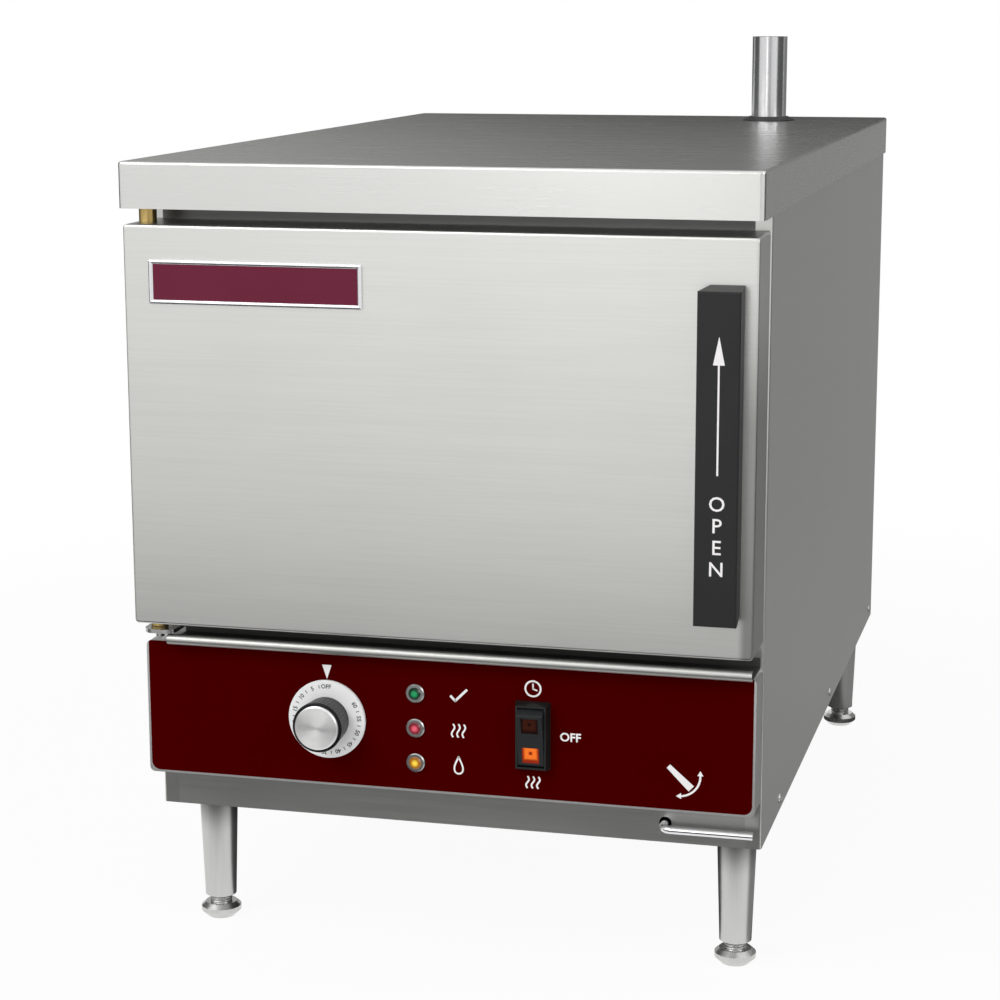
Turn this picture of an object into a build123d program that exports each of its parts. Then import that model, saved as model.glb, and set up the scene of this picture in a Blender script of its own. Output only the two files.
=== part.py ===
from build123d import *
import os
from math import cos, radians, sin

os.makedirs("parts", exist_ok=True)

# A countertop convection steamer for three full-size pans, with a side-hinged door, a drip
# gutter, a control panel, a roof vent and four legs. Lengths are in millimetres. X runs to
# the right as seen from the front, Y runs from the front to the back, and Z runs up from the
# floor. The origin is on the floor, under the middle of the space that the steamer takes.

# Case
case_width = 457.0
case_depth = 725.0
case_height = 487.0
leg_height = 106.0
panel_sheet = 1.2
frame_sheet = 1.5
side_return = 12.0
bend_radius = 2.0
frame_flange = 15.0
skirt_height = 33.0
pan_flange = 28.0
running_gap = 0.3
fit_gap = 0.05
press_gap = 0.02

# Cover
cover_sheet = 1.5
cover_lip = 33.0
cover_overlap = 2.0
cover_hem = 10.0
cover_corner = 4.0

# Louvres in the back panel
louvre_width = 110.0
louvre_height = 7.0
louvre_depth = 5.0
louvre_pitch = 17.0
louvre_rows = 8
louvre_side_inset = 153.5
louvre_first_rise = 230.0

# Legs and their adjustable feet
leg_side_inset = 25.0
leg_front_inset = 49.0
leg_back_inset = 30.0
leg_top_radius = 15.0
leg_end_radius = 12.0
leg_stud_radius = 5.0
leg_stud_length = 12.0
foot_height = 18.0
foot_radius = 15.5
foot_rim = 3.5
foot_dish = 6.5
foot_flat_radius = 10.5
foot_stem_radius = 8.5
foot_stem_length = 66.0

# Cavity and its water reservoir
cavity_side_space = 42.5
cavity_back_space = 163.5
door_lap = 26.0
reservoir_depth = 30.0
liner_sheet = 1.2
liner_flange = 12.0
cavity_corner = 12.0
insulation_side = 15.0
insulation_top = 24.0
insulation_gap = 0.3
insulation_round = 12.0

# Pan racks
rack_sheet = 1.5
rack_wall_gap = 18.0
rack_front_gap = 30.0
rack_back_gap = 40.0
rack_height = 208.0
rack_bottom_gap = 8.0
ledge_width = 16.5
ledge_first_rise = 48.0
ledge_pitch = 74.0
ledge_count = 3
peg_radius = 4.0
peg_inset = 40.0
window_length = 70.0
window_height = 34.0
window_count = 5

# Fan, its motor and the baffle in front of it
fan_rise = 126.0
fan_radius = 72.0
fan_width = 16.0
fan_sheet = 1.2
fan_blade_count = 12
fan_blade_length = 26.0
fan_blade_lean = 35.0
fan_hub_radius = 12.0
fan_shaft_radius = 4.0
fan_shaft_length = 62.0
fan_wall_gap = 4.0
baffle_side_gap = 26.0
baffle_height = 205.0
baffle_gap = 4.0
inlet_radius = 48.0
inlet_slot = 7.0
inlet_bar_count = 5
motor_radius = 42.0
motor_length = 70.0
motor_flange_radius = 55.0
motor_flange_sheet = 5.0

# Roof vent
vent_side_inset = 99.5
vent_back_inset = 80.0
vent_radius = 16.0
duct_radius = 15.4
vent_wall = 1.4
vent_rise = 77.0
vent_bend = 40.0
vent_inlet_drop = 43.0
collar_radius = 23.5
collar_height = 4.0
collar_edge = 1.0
collar_shoulder = 2.0

# Heater and probes at the reservoir
heater_side_gap = 16.0
heater_back_gap = 140.0
heater_height = 10.0
heater_front_gap = 140.0
heater_corner = 20.0
probe_side_gap = 46.0
probe_radius = 4.0
probe_reach = 22.0
probe_body_radius = 8.0
probe_body_length = 20.0
level_probe_rise = 14.0
heat_probe_drop = 36.0

# Drain cock, its lever and its pipes
drain_side_inset = 69.8
drain_rise = 14.7
valve_setback = 90.0
valve_length = 32.0
valve_width = 24.0
valve_height = 22.0
plug_radius = 8.0
plug_length = 16.0
plug_bore_radius = 4.5
lever_radius = 3.0
lever_arm = 66.0
lever_reach = 15.0
lever_bend = 6.0
lever_hole_radius = 4.5
tube_radius = 8.0
tube_wall = 1.5
tube_bend = 12.0
inlet_offset = 38.0
outlet_radius = 13.35
outlet_reach = 30.0
outlet_nut_radius = 18.0
outlet_inset = 12.0
outlet_shift = 13.0
outlet_nut_height = 4.0

# Control panel
controls_height = 101.0
controls_depth = 28.1
controls_side_gap = 1.0
controls_corner = 4.0
overlay_sheet = 0.4
access_side = 28.0
access_edge = 12.0

# Timer
timer_side_inset = 141.2
timer_rise = 50.5
timer_body_size = 46.0
timer_body_depth = 32.0
timer_bush_radius = 5.0
timer_shaft_radius = 3.0
dial_radius = 29.3
dial_sheet = 2.4
dial_edge = 0.8
knob_base_radius = 17.0
knob_radius = 18.7
knob_depth = 22.2
knob_edge = 0.8
knob_bore_depth = 12.0
cap_radius = 16.3
cap_depth = 2.2
cap_edge = 1.0

# Signal lamps
lamp_offset = -20.4
lamp_rise = 48.2
lamp_pitch = 26.0
bezel_radius = 7.0
bezel_height = 2.0
bezel_edge = 0.7
bezel_barrel_radius = 5.9
bezel_barrel_length = 16.0
lens_radius = 4.6
lens_proud = 0.9
lens_length = 9.0

# Rocker switch
switch_side_inset = 161.4
switch_rise = 48.9
switch_width = 26.0
switch_height = 50.5
switch_proud = 7.5
switch_taper = 13.5
switch_body_inset = 2.0
switch_body_depth = 26.0
switch_wall = 3.2
pocket_depth = 20.0
rocker_tilt = 10.0
rocker_pin_radius = 1.5
rocker_pin_length = 1.2
rocker_side_gap = 0.35
rocker_face_rise = 9.3
rocker_face_fall = 0.9
rocker_belly = 7.0
rocker_end_drop = 3.5
window_glass_width = 12.5
window_glass_height = 12.0
window_glass_offset = 11.6
window_glass_depth = 2.2

# Drip gutter
gutter_depth = 40.0
gutter_height = 8.0
gutter_sheet = 1.2
gutter_left_inset = 21.5
gutter_right_inset = 3.0

# Door
door_reach = 49.5
door_side_gap = 1.0
door_back_gap = 3.0
door_sheet = 1.2
door_corner = 3.0
inner_flange = 12.0
bulge_side_gap = 14.0
bulge_depth = 9.0
bulge_taper = 30.0
gasket_width = 12.0
gasket_lap = 4.0
gasket_round = 1.0
door_fill_edge = 28.0

# Hinges
hinge_inset = 11.5
hinge_reach = 27.0
bush_radius = 6.4
upper_bush_height = 10.7
lower_bush_height = 5.7
spigot_radius = 5.6
spigot_length = 14.0
pin_radius = 3.5
upper_bracket_sheet = 4.0
upper_bracket_flange = 26.0
bracket_width = 24.0
bracket_side_gap = 3.5
lower_bracket_sheet = 3.0
lower_bracket_reach = 42.0
lower_bracket_round = 8.0
lower_bracket_gap = 1.0
pin_tail_radius = 3.3
pin_tail_length = 5.5

# Nameplate
plate_width = 158.0
plate_height = 31.5
plate_left_inset = 20.5
plate_top_inset = 24.5
plate_sheet = 1.6
plate_frame = 2.2
plate_recess = 0.6
plate_corner = 1.5

# Handle and latch
handle_width = 30.0
handle_height = 232.0
handle_reach = 17.0
handle_side_inset = 9.5
handle_bottom_inset = 27.0
handle_undercut = 6.5
handle_top_slope = 3.0
handle_foot_slope = 7.0
handle_foot_flat = 5.7
handle_edge = 1.0
handle_lift = 12.0
stud_radius = 4.0
stud_inset = 34.0
stud_grip = 8.0
slide_width = 16.0
slide_sheet = 4.0
slide_overrun = 12.0
hook_width = 6.0
hook_height = 9.0
hook_nose = 6.0
hook_drop = 6.0
hook_reach = 12.0
hook_rise = 150.0
hook_clearance = 0.5
hook_slot_side = 2.5
strike_width = 11.0
strike_height = 12.0
strike_depth = 4.0
spring_length = 18.0
spring_width = 9.0
spring_sheet = 0.6
spring_folds = 3
spring_swing = 8.0

# Supply inlet and contactor
gland_side_inset = 78.5
gland_rise = 64.0
gland_radius = 14.0
gland_bore_radius = 6.5
gland_reach = 20.0
gland_thread_radius = 10.0
gland_thread_length = 12.0
contactor_width = 60.0
contactor_depth = 45.0
contactor_height = 80.0
contactor_setback = 110.0

# Places worked out from the sizes above
half_width = case_width / 2
cavity_width = case_width - 2 * cavity_side_space
cavity_depth = case_depth - frame_sheet - cavity_back_space
baffle_width = cavity_width - 2 * baffle_side_gap
probe_x = cavity_width / 2 - probe_side_gap
louvre_x = half_width - louvre_side_inset
vent_x = half_width - vent_side_inset
drain_x = half_width - drain_side_inset
gland_x = gland_side_inset - half_width
timer_x = timer_side_inset - half_width
lamp_x = lamp_offset
switch_x = half_width - switch_side_inset
gutter_left = gutter_left_inset - half_width
gutter_right = half_width - gutter_right_inset
front = (door_reach + handle_reach - case_depth - outlet_reach) / 2
back = front + case_depth
middle = (front + back) / 2
case_bottom = leg_height
case_top = case_bottom + case_height
shell_top = case_top - cover_sheet
cover_bottom = case_top - cover_lip
cover_front = front - door_reach
cover_back = back + cover_overlap
skirt_top = case_bottom + skirt_height
controls_top = skirt_top + controls_height
controls_front = front - controls_depth
overlay_front = controls_front - overlay_sheet
gutter_top = controls_top + gutter_height
lower_bracket_bottom = gutter_top + lower_bracket_gap
lower_bracket_top = lower_bracket_bottom + lower_bracket_sheet
door_bottom = lower_bracket_top + running_gap + lower_bush_height
door_top = cover_bottom - running_gap - upper_bush_height
door_middle = (door_bottom + door_top) / 2
door_half = half_width - door_side_gap
door_front = front - door_reach
door_back = front - door_back_gap
opening_bottom = door_bottom + door_lap
opening_top = door_top - door_lap
opening_middle = (opening_bottom + opening_top) / 2
cavity_half = cavity_width / 2
cavity_floor = opening_bottom - reservoir_depth
liner_front = front + frame_sheet
cavity_back = liner_front + cavity_depth
liner_back = cavity_back + liner_sheet


def facing(y):
    """The upright plane at depth y, seen from the front: local X is X and local Y is Z."""
    return Plane.XZ.offset(-y)


def turning(x, y):
    """An upright plane through a vertical axis, for profiles of radius and height."""
    return Plane(origin=(x, y, 0), x_dir=(1, 0, 0), z_dir=(0, -1, 0))


def block(x, y, z, mode=Mode.ADD):
    """A box that spans the three given ranges."""
    with Locations(((x[0] + x[1]) / 2, (y[0] + y[1]) / 2, (z[0] + z[1]) / 2)):
        Box(x[1] - x[0], y[1] - y[0], z[1] - z[0], mode=mode)


# Folded cover with a lip all round, which overhangs the door
cover_width = case_width + 2 * cover_overlap
cover_depth = cover_back - cover_front
with BuildPart() as top_cover:
    with BuildSketch(Plane.XY.offset(cover_bottom)):
        with Locations((0, (cover_front + cover_back) / 2)):
            RectangleRounded(cover_width, cover_depth, cover_corner)
    extrude(amount=cover_lip)
    fillet(top_cover.faces().sort_by(Axis.Z)[-1].edges(), bend_radius)
    with BuildSketch(Plane.XY.offset(cover_bottom)):
        with Locations((0, (cover_front + cover_back) / 2)):
            RectangleRounded(
                cover_width - 2 * cover_sheet,
                cover_depth - 2 * cover_sheet,
                cover_corner - cover_sheet,
            )
    extrude(amount=cover_lip - cover_sheet, mode=Mode.SUBTRACT)
    hem_half = cover_width / 2 - cover_corner
    block(
        (-hem_half, hem_half),
        (cover_front + cover_sheet / 2, cover_front + cover_sheet + cover_hem),
        (cover_bottom, cover_bottom + cover_sheet),
    )
    with BuildSketch(Plane.XY.offset(case_top)):
        with Locations((vent_x, back - vent_back_inset)):
            Circle(duct_radius + running_gap)
    extrude(amount=-cover_lip / 2, mode=Mode.SUBTRACT)
top_cover.part.label = "top_cover"
export_step(top_cover.part, "parts/top_cover.step")

# Side panels, folded in at the front, the back and the top
for side, word in ((-1, "left"), (1, "right")):
    outward = Axis((0, 0, 0), (side, 0, 0))
    with BuildPart() as side_panel:
        with BuildSketch(Plane.XY.offset(case_bottom)):
            with Locations((side * (half_width - side_return / 2), middle)):
                Rectangle(side_return, case_depth)
        extrude(amount=shell_top - case_bottom)
        fillet(side_panel.faces().sort_by(outward)[-1].edges().sort_by(Axis.Z)[1:], bend_radius)
        inner_side = side_panel.faces().sort_by(outward)[0]
        underside = side_panel.faces().sort_by(Axis.Z)[0]
        offset(amount=-panel_sheet, openings=[inner_side, underside])
    side_panel.part.label = f"{word}_side_panel"
    export_step(side_panel.part, f"parts/{word}_side_panel.step")

# Back panel with two banks of pressed louvres, whose mouths face down
lever_z = case_bottom + drain_rise
outlet_x = drain_x + valve_length / 2 + outlet_shift
gland_z = case_bottom + gland_rise
back_inner = back - 2 * panel_sheet
back_outer = back - panel_sheet
panel_half = half_width - bend_radius
panel_top = shell_top - bend_radius
with BuildPart() as back_panel:
    with BuildSketch(facing(back_inner)):
        with Locations((0, (case_bottom + panel_top) / 2)):
            Rectangle(2 * panel_half, panel_top - case_bottom)
        with Locations((outlet_x, lever_z)):
            Circle(outlet_radius + running_gap, mode=Mode.SUBTRACT)
        with Locations((gland_x, gland_z)):
            Circle(gland_thread_radius + running_gap, mode=Mode.SUBTRACT)
    extrude(amount=-panel_sheet)
    louvre_lows = [
        case_bottom + louvre_first_rise + row * louvre_pitch for row in range(louvre_rows)
    ]
    for bank_x in (-louvre_x, louvre_x):
        with BuildSketch(Plane.YZ.offset(bank_x - louvre_width / 2)):
            for low in louvre_lows:
                with BuildLine():
                    EllipticalCenterArc((back_outer, low), louvre_depth, louvre_height, arc_size=90)
                    Line((back_outer, low + louvre_height), (back_outer, low))
                    Line((back_outer, low), (back_outer + louvre_depth, low))
                make_face()
        extrude(amount=louvre_width)
        with BuildSketch(Plane.YZ.offset(bank_x - louvre_width / 2 + panel_sheet)):
            for low in louvre_lows:
                inner_depth = louvre_depth - panel_sheet
                inner_height = louvre_height - panel_sheet
                with BuildLine():
                    EllipticalCenterArc((back_outer, low), inner_depth, inner_height, arc_size=90)
                    Line((back_outer, low + inner_height), (back_inner, low + inner_height))
                    Line((back_inner, low + inner_height), (back_inner, low))
                    Line((back_inner, low), (back_outer + inner_depth, low))
                make_face()
        extrude(amount=louvre_width - 2 * panel_sheet, mode=Mode.SUBTRACT)
back_panel.part.label = "back_panel"
export_step(back_panel.part, "parts/back_panel.step")

# Legs: tapered tubes with a stud through the base pan, and the feet that screw into them
leg_places = {
    "front_left": (-half_width + leg_side_inset, front + leg_front_inset),
    "front_right": (half_width - leg_side_inset, front + leg_front_inset),
    "back_left": (-half_width + leg_side_inset, back - leg_back_inset),
    "back_right": (half_width - leg_side_inset, back - leg_back_inset),
}
stem_top = foot_height + foot_stem_length
foot_shoulder = foot_height - foot_dish
for place, (leg_x, leg_y) in leg_places.items():
    with BuildPart() as leg:
        with BuildSketch(turning(leg_x, leg_y)):
            with BuildLine():
                Polyline(
                    (0, stem_top + running_gap),
                    (foot_stem_radius + fit_gap, stem_top + running_gap),
                    (foot_stem_radius + fit_gap, foot_height),
                    (leg_end_radius, foot_height),
                    (leg_top_radius, case_bottom),
                    (leg_stud_radius, case_bottom),
                    (leg_stud_radius, case_bottom + leg_stud_length),
                    (0, case_bottom + leg_stud_length),
                    close=True,
                )
            make_face()
        revolve(axis=Axis((leg_x, leg_y, 0), (0, 0, 1)))
    leg.part.label = f"{place}_leg"
    export_step(leg.part, f"parts/{place}_leg.step")

    with BuildPart() as foot:
        with BuildSketch(turning(leg_x, leg_y)):
            with BuildLine():
                Polyline(
                    (0, 0),
                    (foot_flat_radius, 0),
                    (foot_radius, foot_shoulder - foot_rim - foot_dish / 2),
                    (foot_radius, foot_shoulder - foot_dish / 2),
                    (leg_end_radius, foot_shoulder),
                    (foot_stem_radius, foot_shoulder),
                    (foot_stem_radius, stem_top),
                    (0, stem_top),
                    close=True,
                )
            make_face()
        revolve(axis=Axis((leg_x, leg_y, 0), (0, 0, 1)))
    foot.part.label = f"{place}_foot"
    export_step(foot.part, f"parts/{place}_foot.step")

# Base pan: a tray with upturned flanges and a tall front skirt
with BuildPart() as base_pan:
    with BuildSketch(Plane.XY.offset(case_bottom)):
        with Locations((0, (front + panel_sheet + back_inner) / 2)):
            Rectangle(2 * panel_half, back_inner - front - panel_sheet)
    extrude(amount=pan_flange)
    offset(amount=-frame_sheet, openings=base_pan.faces().sort_by(Axis.Z)[-1])
    skirt_half = half_width - side_return
    block((-skirt_half, skirt_half), (front, front + frame_sheet), (case_bottom, skirt_top))
    with BuildSketch(Plane.XY.offset(case_bottom)):
        with Locations(*leg_places.values()):
            Circle(leg_stud_radius + fit_gap)
    extrude(amount=frame_sheet, mode=Mode.SUBTRACT)
    with BuildSketch(facing(front)):
        with Locations((drain_x, lever_z)):
            Circle(lever_hole_radius)
    extrude(amount=-frame_flange, mode=Mode.SUBTRACT)
    with BuildSketch(facing(back)):
        with Locations((outlet_x, lever_z)):
            Circle(outlet_radius + running_gap)
    extrude(amount=frame_flange, mode=Mode.SUBTRACT)
base_pan.part.label = "base_pan"
export_step(base_pan.part, "parts/base_pan.step")

# Front frame: a shallow pan between the side panels, with the cavity's mouth cut in it
latch_x = door_half - handle_side_inset - handle_width / 2
hook_x = half_width - side_return - frame_sheet - strike_width / 2
handle_bottom = door_bottom + handle_bottom_inset
hook_bottom = handle_bottom + hook_rise
hook_top = hook_bottom + hook_height
hook_tip = hook_bottom - hook_drop
strike_top = hook_tip - hook_clearance
with BuildPart() as front_frame:
    with BuildSketch(facing(front)):
        with Locations((0, (skirt_top + shell_top) / 2)):
            Rectangle(2 * skirt_half, shell_top - skirt_top)
    extrude(amount=-frame_flange)
    offset(amount=-frame_sheet, openings=front_frame.faces().sort_by(Axis.Y)[-1])
    with BuildSketch(facing(front)):
        with Locations((0, opening_middle)):
            RectangleRounded(cavity_width, opening_top - opening_bottom, cavity_corner)
        with Locations((0, (skirt_top + controls_top) / 2)):
            Rectangle(2 * (skirt_half - access_side), controls_height - 2 * access_edge)
        with Locations((hook_x, strike_top)):
            Rectangle(
                hook_width + 2 * hook_slot_side,
                hook_top + handle_lift + hook_slot_side - strike_top,
                align=(Align.CENTER, Align.MIN),
            )
    extrude(amount=-frame_sheet, mode=Mode.SUBTRACT)
front_frame.part.label = "front_frame"
export_step(front_frame.part, "parts/front_frame.step")

# Cavity liner: a deep welded box with a sill in front of the water reservoir
fan_z = opening_bottom + fan_rise
vent_y = back - vent_back_inset
vent_inlet_z = opening_top - vent_inlet_drop
valve_y = front + valve_setback
level_probe_z = cavity_floor + level_probe_rise
heat_probe_z = opening_top - heat_probe_drop
probe_places = ((-probe_x, level_probe_z), (-probe_x, heat_probe_z))
inlet_x = drain_x - inlet_offset
with BuildPart() as cavity_liner:
    with BuildSketch(facing(liner_front)):
        with Locations((0, (cavity_floor + opening_top) / 2)):
            RectangleRounded(
                cavity_width + 2 * liner_sheet,
                opening_top - cavity_floor + 2 * liner_sheet,
                cavity_corner + liner_sheet,
            )
    extrude(amount=-cavity_depth - liner_sheet)
    with BuildSketch(facing(liner_front)):
        with Locations((0, (cavity_floor + opening_top) / 2)):
            Rectangle(
                cavity_width + 2 * liner_flange, opening_top - cavity_floor + 2 * liner_flange
            )
    extrude(amount=-liner_sheet)
    with BuildSketch(facing(liner_front + liner_sheet)):
        with Locations((0, (cavity_floor + opening_top) / 2)):
            RectangleRounded(cavity_width, opening_top - cavity_floor, cavity_corner)
    extrude(amount=liner_sheet - cavity_depth, mode=Mode.SUBTRACT)
    with BuildSketch(facing(liner_front)):
        with Locations((0, opening_middle)):
            RectangleRounded(cavity_width, opening_top - opening_bottom, cavity_corner)
    extrude(amount=-liner_sheet, mode=Mode.SUBTRACT)
    with BuildSketch(facing(cavity_back)):
        with Locations((0, fan_z)):
            Circle(fan_shaft_radius + running_gap)
        with Locations((vent_x, vent_inlet_z)):
            Circle(duct_radius + fit_gap)
        with Locations(*probe_places):
            Circle(probe_radius + fit_gap)
    extrude(amount=-liner_sheet, mode=Mode.SUBTRACT)
    with BuildSketch(Plane.XY.offset(cavity_floor)):
        with Locations((inlet_x, valve_y)):
            Circle(tube_radius + fit_gap)
    extrude(amount=-liner_sheet, mode=Mode.SUBTRACT)
cavity_liner.part.label = "cavity_liner"
export_step(cavity_liner.part, "parts/cavity_liner.step")

# Insulation: a blanket over the liner's top and down its sides
wrap_front = liner_front + liner_sheet + insulation_gap
wrap_half = cavity_half + liner_sheet + insulation_gap
wrap_low = cavity_floor + cavity_corner
wrap_high = opening_top + liner_sheet + insulation_gap
with BuildPart() as cavity_insulation:
    with BuildSketch(facing(wrap_front)):
        with Locations((0, wrap_low)):
            Rectangle(
                2 * (wrap_half + insulation_side),
                wrap_high + insulation_top - wrap_low,
                align=(Align.CENTER, Align.MIN),
            )
        with Locations((0, wrap_low)):
            Rectangle(
                2 * wrap_half,
                wrap_high - wrap_low,
                align=(Align.CENTER, Align.MIN),
                mode=Mode.SUBTRACT,
            )
    extrude(amount=wrap_front - liner_back)
    fillet(
        cavity_insulation.edges().filter_by(Axis.Y).group_by(Axis.Z)[-1],
        insulation_round,
    )
cavity_insulation.part.label = "cavity_insulation"
export_step(cavity_insulation.part, "parts/cavity_insulation.step")

# Pan racks: a side plate with windows, with ledges and stand-off pegs spot-welded to it
rack_face = cavity_half - rack_wall_gap
rack_front = liner_front + rack_front_gap
rack_back = cavity_back - rack_back_gap
rack_middle = (rack_front + rack_back) / 2
rack_bottom = opening_bottom + rack_bottom_gap
ledge_heights = [opening_bottom + ledge_first_rise + step * ledge_pitch for step in range(ledge_count)]
window_pitch = (rack_back - rack_front) / window_count
for side, word in ((-1, "left"), (1, "right")):
    with BuildPart() as pan_rack:
        with BuildSketch(Plane.YZ.offset(side * rack_face)):
            with Locations((rack_middle, rack_bottom)):
                Rectangle(rack_back - rack_front, rack_height, align=(Align.CENTER, Align.MIN))
            for ledge in ledge_heights:
                with Locations((rack_middle, ledge - ledge_pitch / 2)):
                    with GridLocations(window_pitch, window_height, window_count, 1):
                        RectangleRounded(window_length, window_height, peg_radius, mode=Mode.SUBTRACT)
        extrude(amount=-side * rack_sheet)
        with BuildSketch(Plane.YZ.offset(side * (rack_face - rack_sheet - press_gap))):
            for ledge in ledge_heights:
                with Locations((rack_middle, ledge - rack_sheet / 2)):
                    Rectangle(rack_back - rack_front, rack_sheet)
        extrude(amount=-side * ledge_width)
        with BuildSketch(Plane.YZ.offset(side * (rack_face + press_gap))):
            for peg_y in (rack_front + peg_inset, rack_back - peg_inset):
                for peg_z in (ledge_heights[0], ledge_heights[-1]):
                    with Locations((peg_y, peg_z)):
                        Circle(peg_radius)
        extrude(amount=side * (rack_wall_gap - press_gap))
    pan_rack.part.label = f"{word}_pan_rack"
    export_step(pan_rack.part, f"parts/{word}_pan_rack.step")

# Fan baffle: a plate with returns to the cavity's back wall and a barred round inlet
fan_back = cavity_back - fan_wall_gap
fan_front = fan_back - fan_width
baffle_back = fan_front - baffle_gap
baffle_front = baffle_back - panel_sheet
with BuildPart() as fan_baffle:
    with BuildSketch(facing(baffle_front)):
        with Locations((0, fan_z)):
            Rectangle(baffle_width, baffle_height)
    extrude(amount=-panel_sheet)
    for side in (-1, 1):
        with BuildSketch(facing(baffle_front)):
            with Locations((side * (baffle_width - panel_sheet) / 2, fan_z)):
                Rectangle(panel_sheet, baffle_height)
        extrude(amount=baffle_front - cavity_back)
    with BuildSketch(facing(baffle_front)):
        with Locations((0, fan_z)):
            Circle(inlet_radius)
            bar_pitch = 2 * inlet_radius / inlet_bar_count
            with GridLocations(inlet_radius, bar_pitch, 1, inlet_bar_count - 1):
                Rectangle(2 * inlet_radius, inlet_slot, mode=Mode.SUBTRACT)
    extrude(amount=-panel_sheet, mode=Mode.SUBTRACT)
fan_baffle.part.label = "fan_baffle"
export_step(fan_baffle.part, "parts/fan_baffle.step")

# Fan wheel: a back disc, a hub and leaning blades
with BuildPart() as fan_wheel:
    with BuildSketch(facing(fan_back)):
        with Locations((0, fan_z)):
            Circle(fan_radius)
    extrude(amount=fan_sheet)
    with BuildSketch(facing(fan_back)):
        with Locations((0, fan_z)):
            with PolarLocations(fan_radius - fan_blade_length / 2, fan_blade_count):
                Rectangle(fan_blade_length, fan_sheet, rotation=fan_blade_lean)
            Circle(fan_hub_radius)
    extrude(amount=fan_width)
    with BuildSketch(facing(fan_back)):
        with Locations((0, fan_z)):
            Circle(fan_shaft_radius + press_gap)
    extrude(amount=fan_width, mode=Mode.SUBTRACT)
fan_wheel.part.label = "fan_wheel"
export_step(fan_wheel.part, "parts/fan_wheel.step")

with BuildPart() as fan_shaft:
    with BuildSketch(facing(fan_front)):
        with Locations((0, fan_z)):
            Circle(fan_shaft_radius)
    extrude(amount=-fan_shaft_length)
fan_shaft.part.label = "fan_shaft"
export_step(fan_shaft.part, "parts/fan_shaft.step")

# Fan motor: a can with a flange on the liner's back wall and a blind bore for the shaft
with BuildPart() as fan_motor:
    with BuildSketch(facing(liner_back)):
        with Locations((0, fan_z)):
            Circle(motor_flange_radius)
    extrude(amount=-motor_flange_sheet)
    with BuildSketch(facing(liner_back)):
        with Locations((0, fan_z)):
            Circle(motor_radius)
    extrude(amount=-motor_length)
    chamfer(fan_motor.faces().sort_by(Axis.Y)[-1].edges(), motor_flange_sheet)
    with BuildSketch(facing(liner_back)):
        with Locations((0, fan_z)):
            Circle(fan_shaft_radius + fit_gap)
    extrude(amount=liner_back - fan_front - fan_shaft_length - running_gap, mode=Mode.SUBTRACT)
fan_motor.part.label = "fan_motor"
export_step(fan_motor.part, "parts/fan_motor.step")

# Roof vent: a bent duct from the cavity's back wall, its thicker outlet, and its collar
vent_top = case_top + vent_rise
with BuildPart() as vent_pipe:
    with BuildLine(Plane.YZ.offset(vent_x)) as vent_route:
        FilletPolyline(
            (cavity_back, vent_inlet_z), (vent_y, vent_inlet_z), (vent_y, vent_top), radius=vent_bend
        )
    with BuildSketch(facing(cavity_back)):
        with Locations((vent_x, vent_inlet_z)):
            Circle(duct_radius)
            Circle(duct_radius - vent_wall, mode=Mode.SUBTRACT)
    sweep(path=vent_route.wires()[0])
    with BuildSketch(Plane.XY.offset(vent_top)):
        with Locations((vent_x, vent_y)):
            Circle(vent_radius)
            Circle(duct_radius - vent_wall, mode=Mode.SUBTRACT)
    extrude(amount=case_top + collar_height - vent_top)
vent_pipe.part.label = "vent_pipe"
export_step(vent_pipe.part, "parts/vent_pipe.step")

with BuildPart() as vent_collar:
    with BuildSketch(turning(vent_x, vent_y)):
        with BuildLine():
            Polyline(
                (duct_radius + fit_gap, case_top),
                (collar_radius, case_top),
                (collar_radius, case_top + collar_edge),
                (vent_radius + collar_shoulder, case_top + collar_height),
                (duct_radius + fit_gap, case_top + collar_height),
                close=True,
            )
        make_face()
    revolve(axis=Axis((vent_x, vent_y, 0), (0, 0, 1)))
vent_collar.part.label = "vent_collar"
export_step(vent_collar.part, "parts/vent_collar.step")

# Reservoir heater: a cast plate under the reservoir, with two terminals
heater_top = cavity_floor - liner_sheet
heater_width = cavity_width - 2 * heater_side_gap
heater_front = front + heater_front_gap
heater_back = cavity_back - heater_back_gap
terminal_y = heater_front + heater_corner
with BuildPart() as reservoir_heater:
    with BuildSketch(Plane.XY.offset(heater_top)):
        with Locations((0, (heater_front + heater_back) / 2)):
            RectangleRounded(heater_width, heater_back - heater_front, heater_corner)
    extrude(amount=-heater_height)
    with BuildSketch(Plane.XY.offset(heater_top - heater_height)):
        with Locations((-heater_corner, terminal_y), (heater_corner, terminal_y)):
            Circle(probe_radius)
    extrude(amount=-heater_height)
reservoir_heater.part.label = "reservoir_heater"
export_step(reservoir_heater.part, "parts/reservoir_heater.step")

# Probes in the liner's back wall: water level at the bottom, steam temperature at the top
with BuildPart() as cavity_probes:
    with BuildSketch(facing(liner_back)):
        with Locations(*probe_places):
            Circle(probe_radius)
    extrude(amount=probe_reach)
    with BuildSketch(facing(liner_back)):
        with Locations(*probe_places):
            RegularPolygon(probe_body_radius, 6)
    extrude(amount=-probe_body_length)
cavity_probes.part.label = "cavity_probes"
export_step(cavity_probes.part, "parts/cavity_probes.step")

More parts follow.
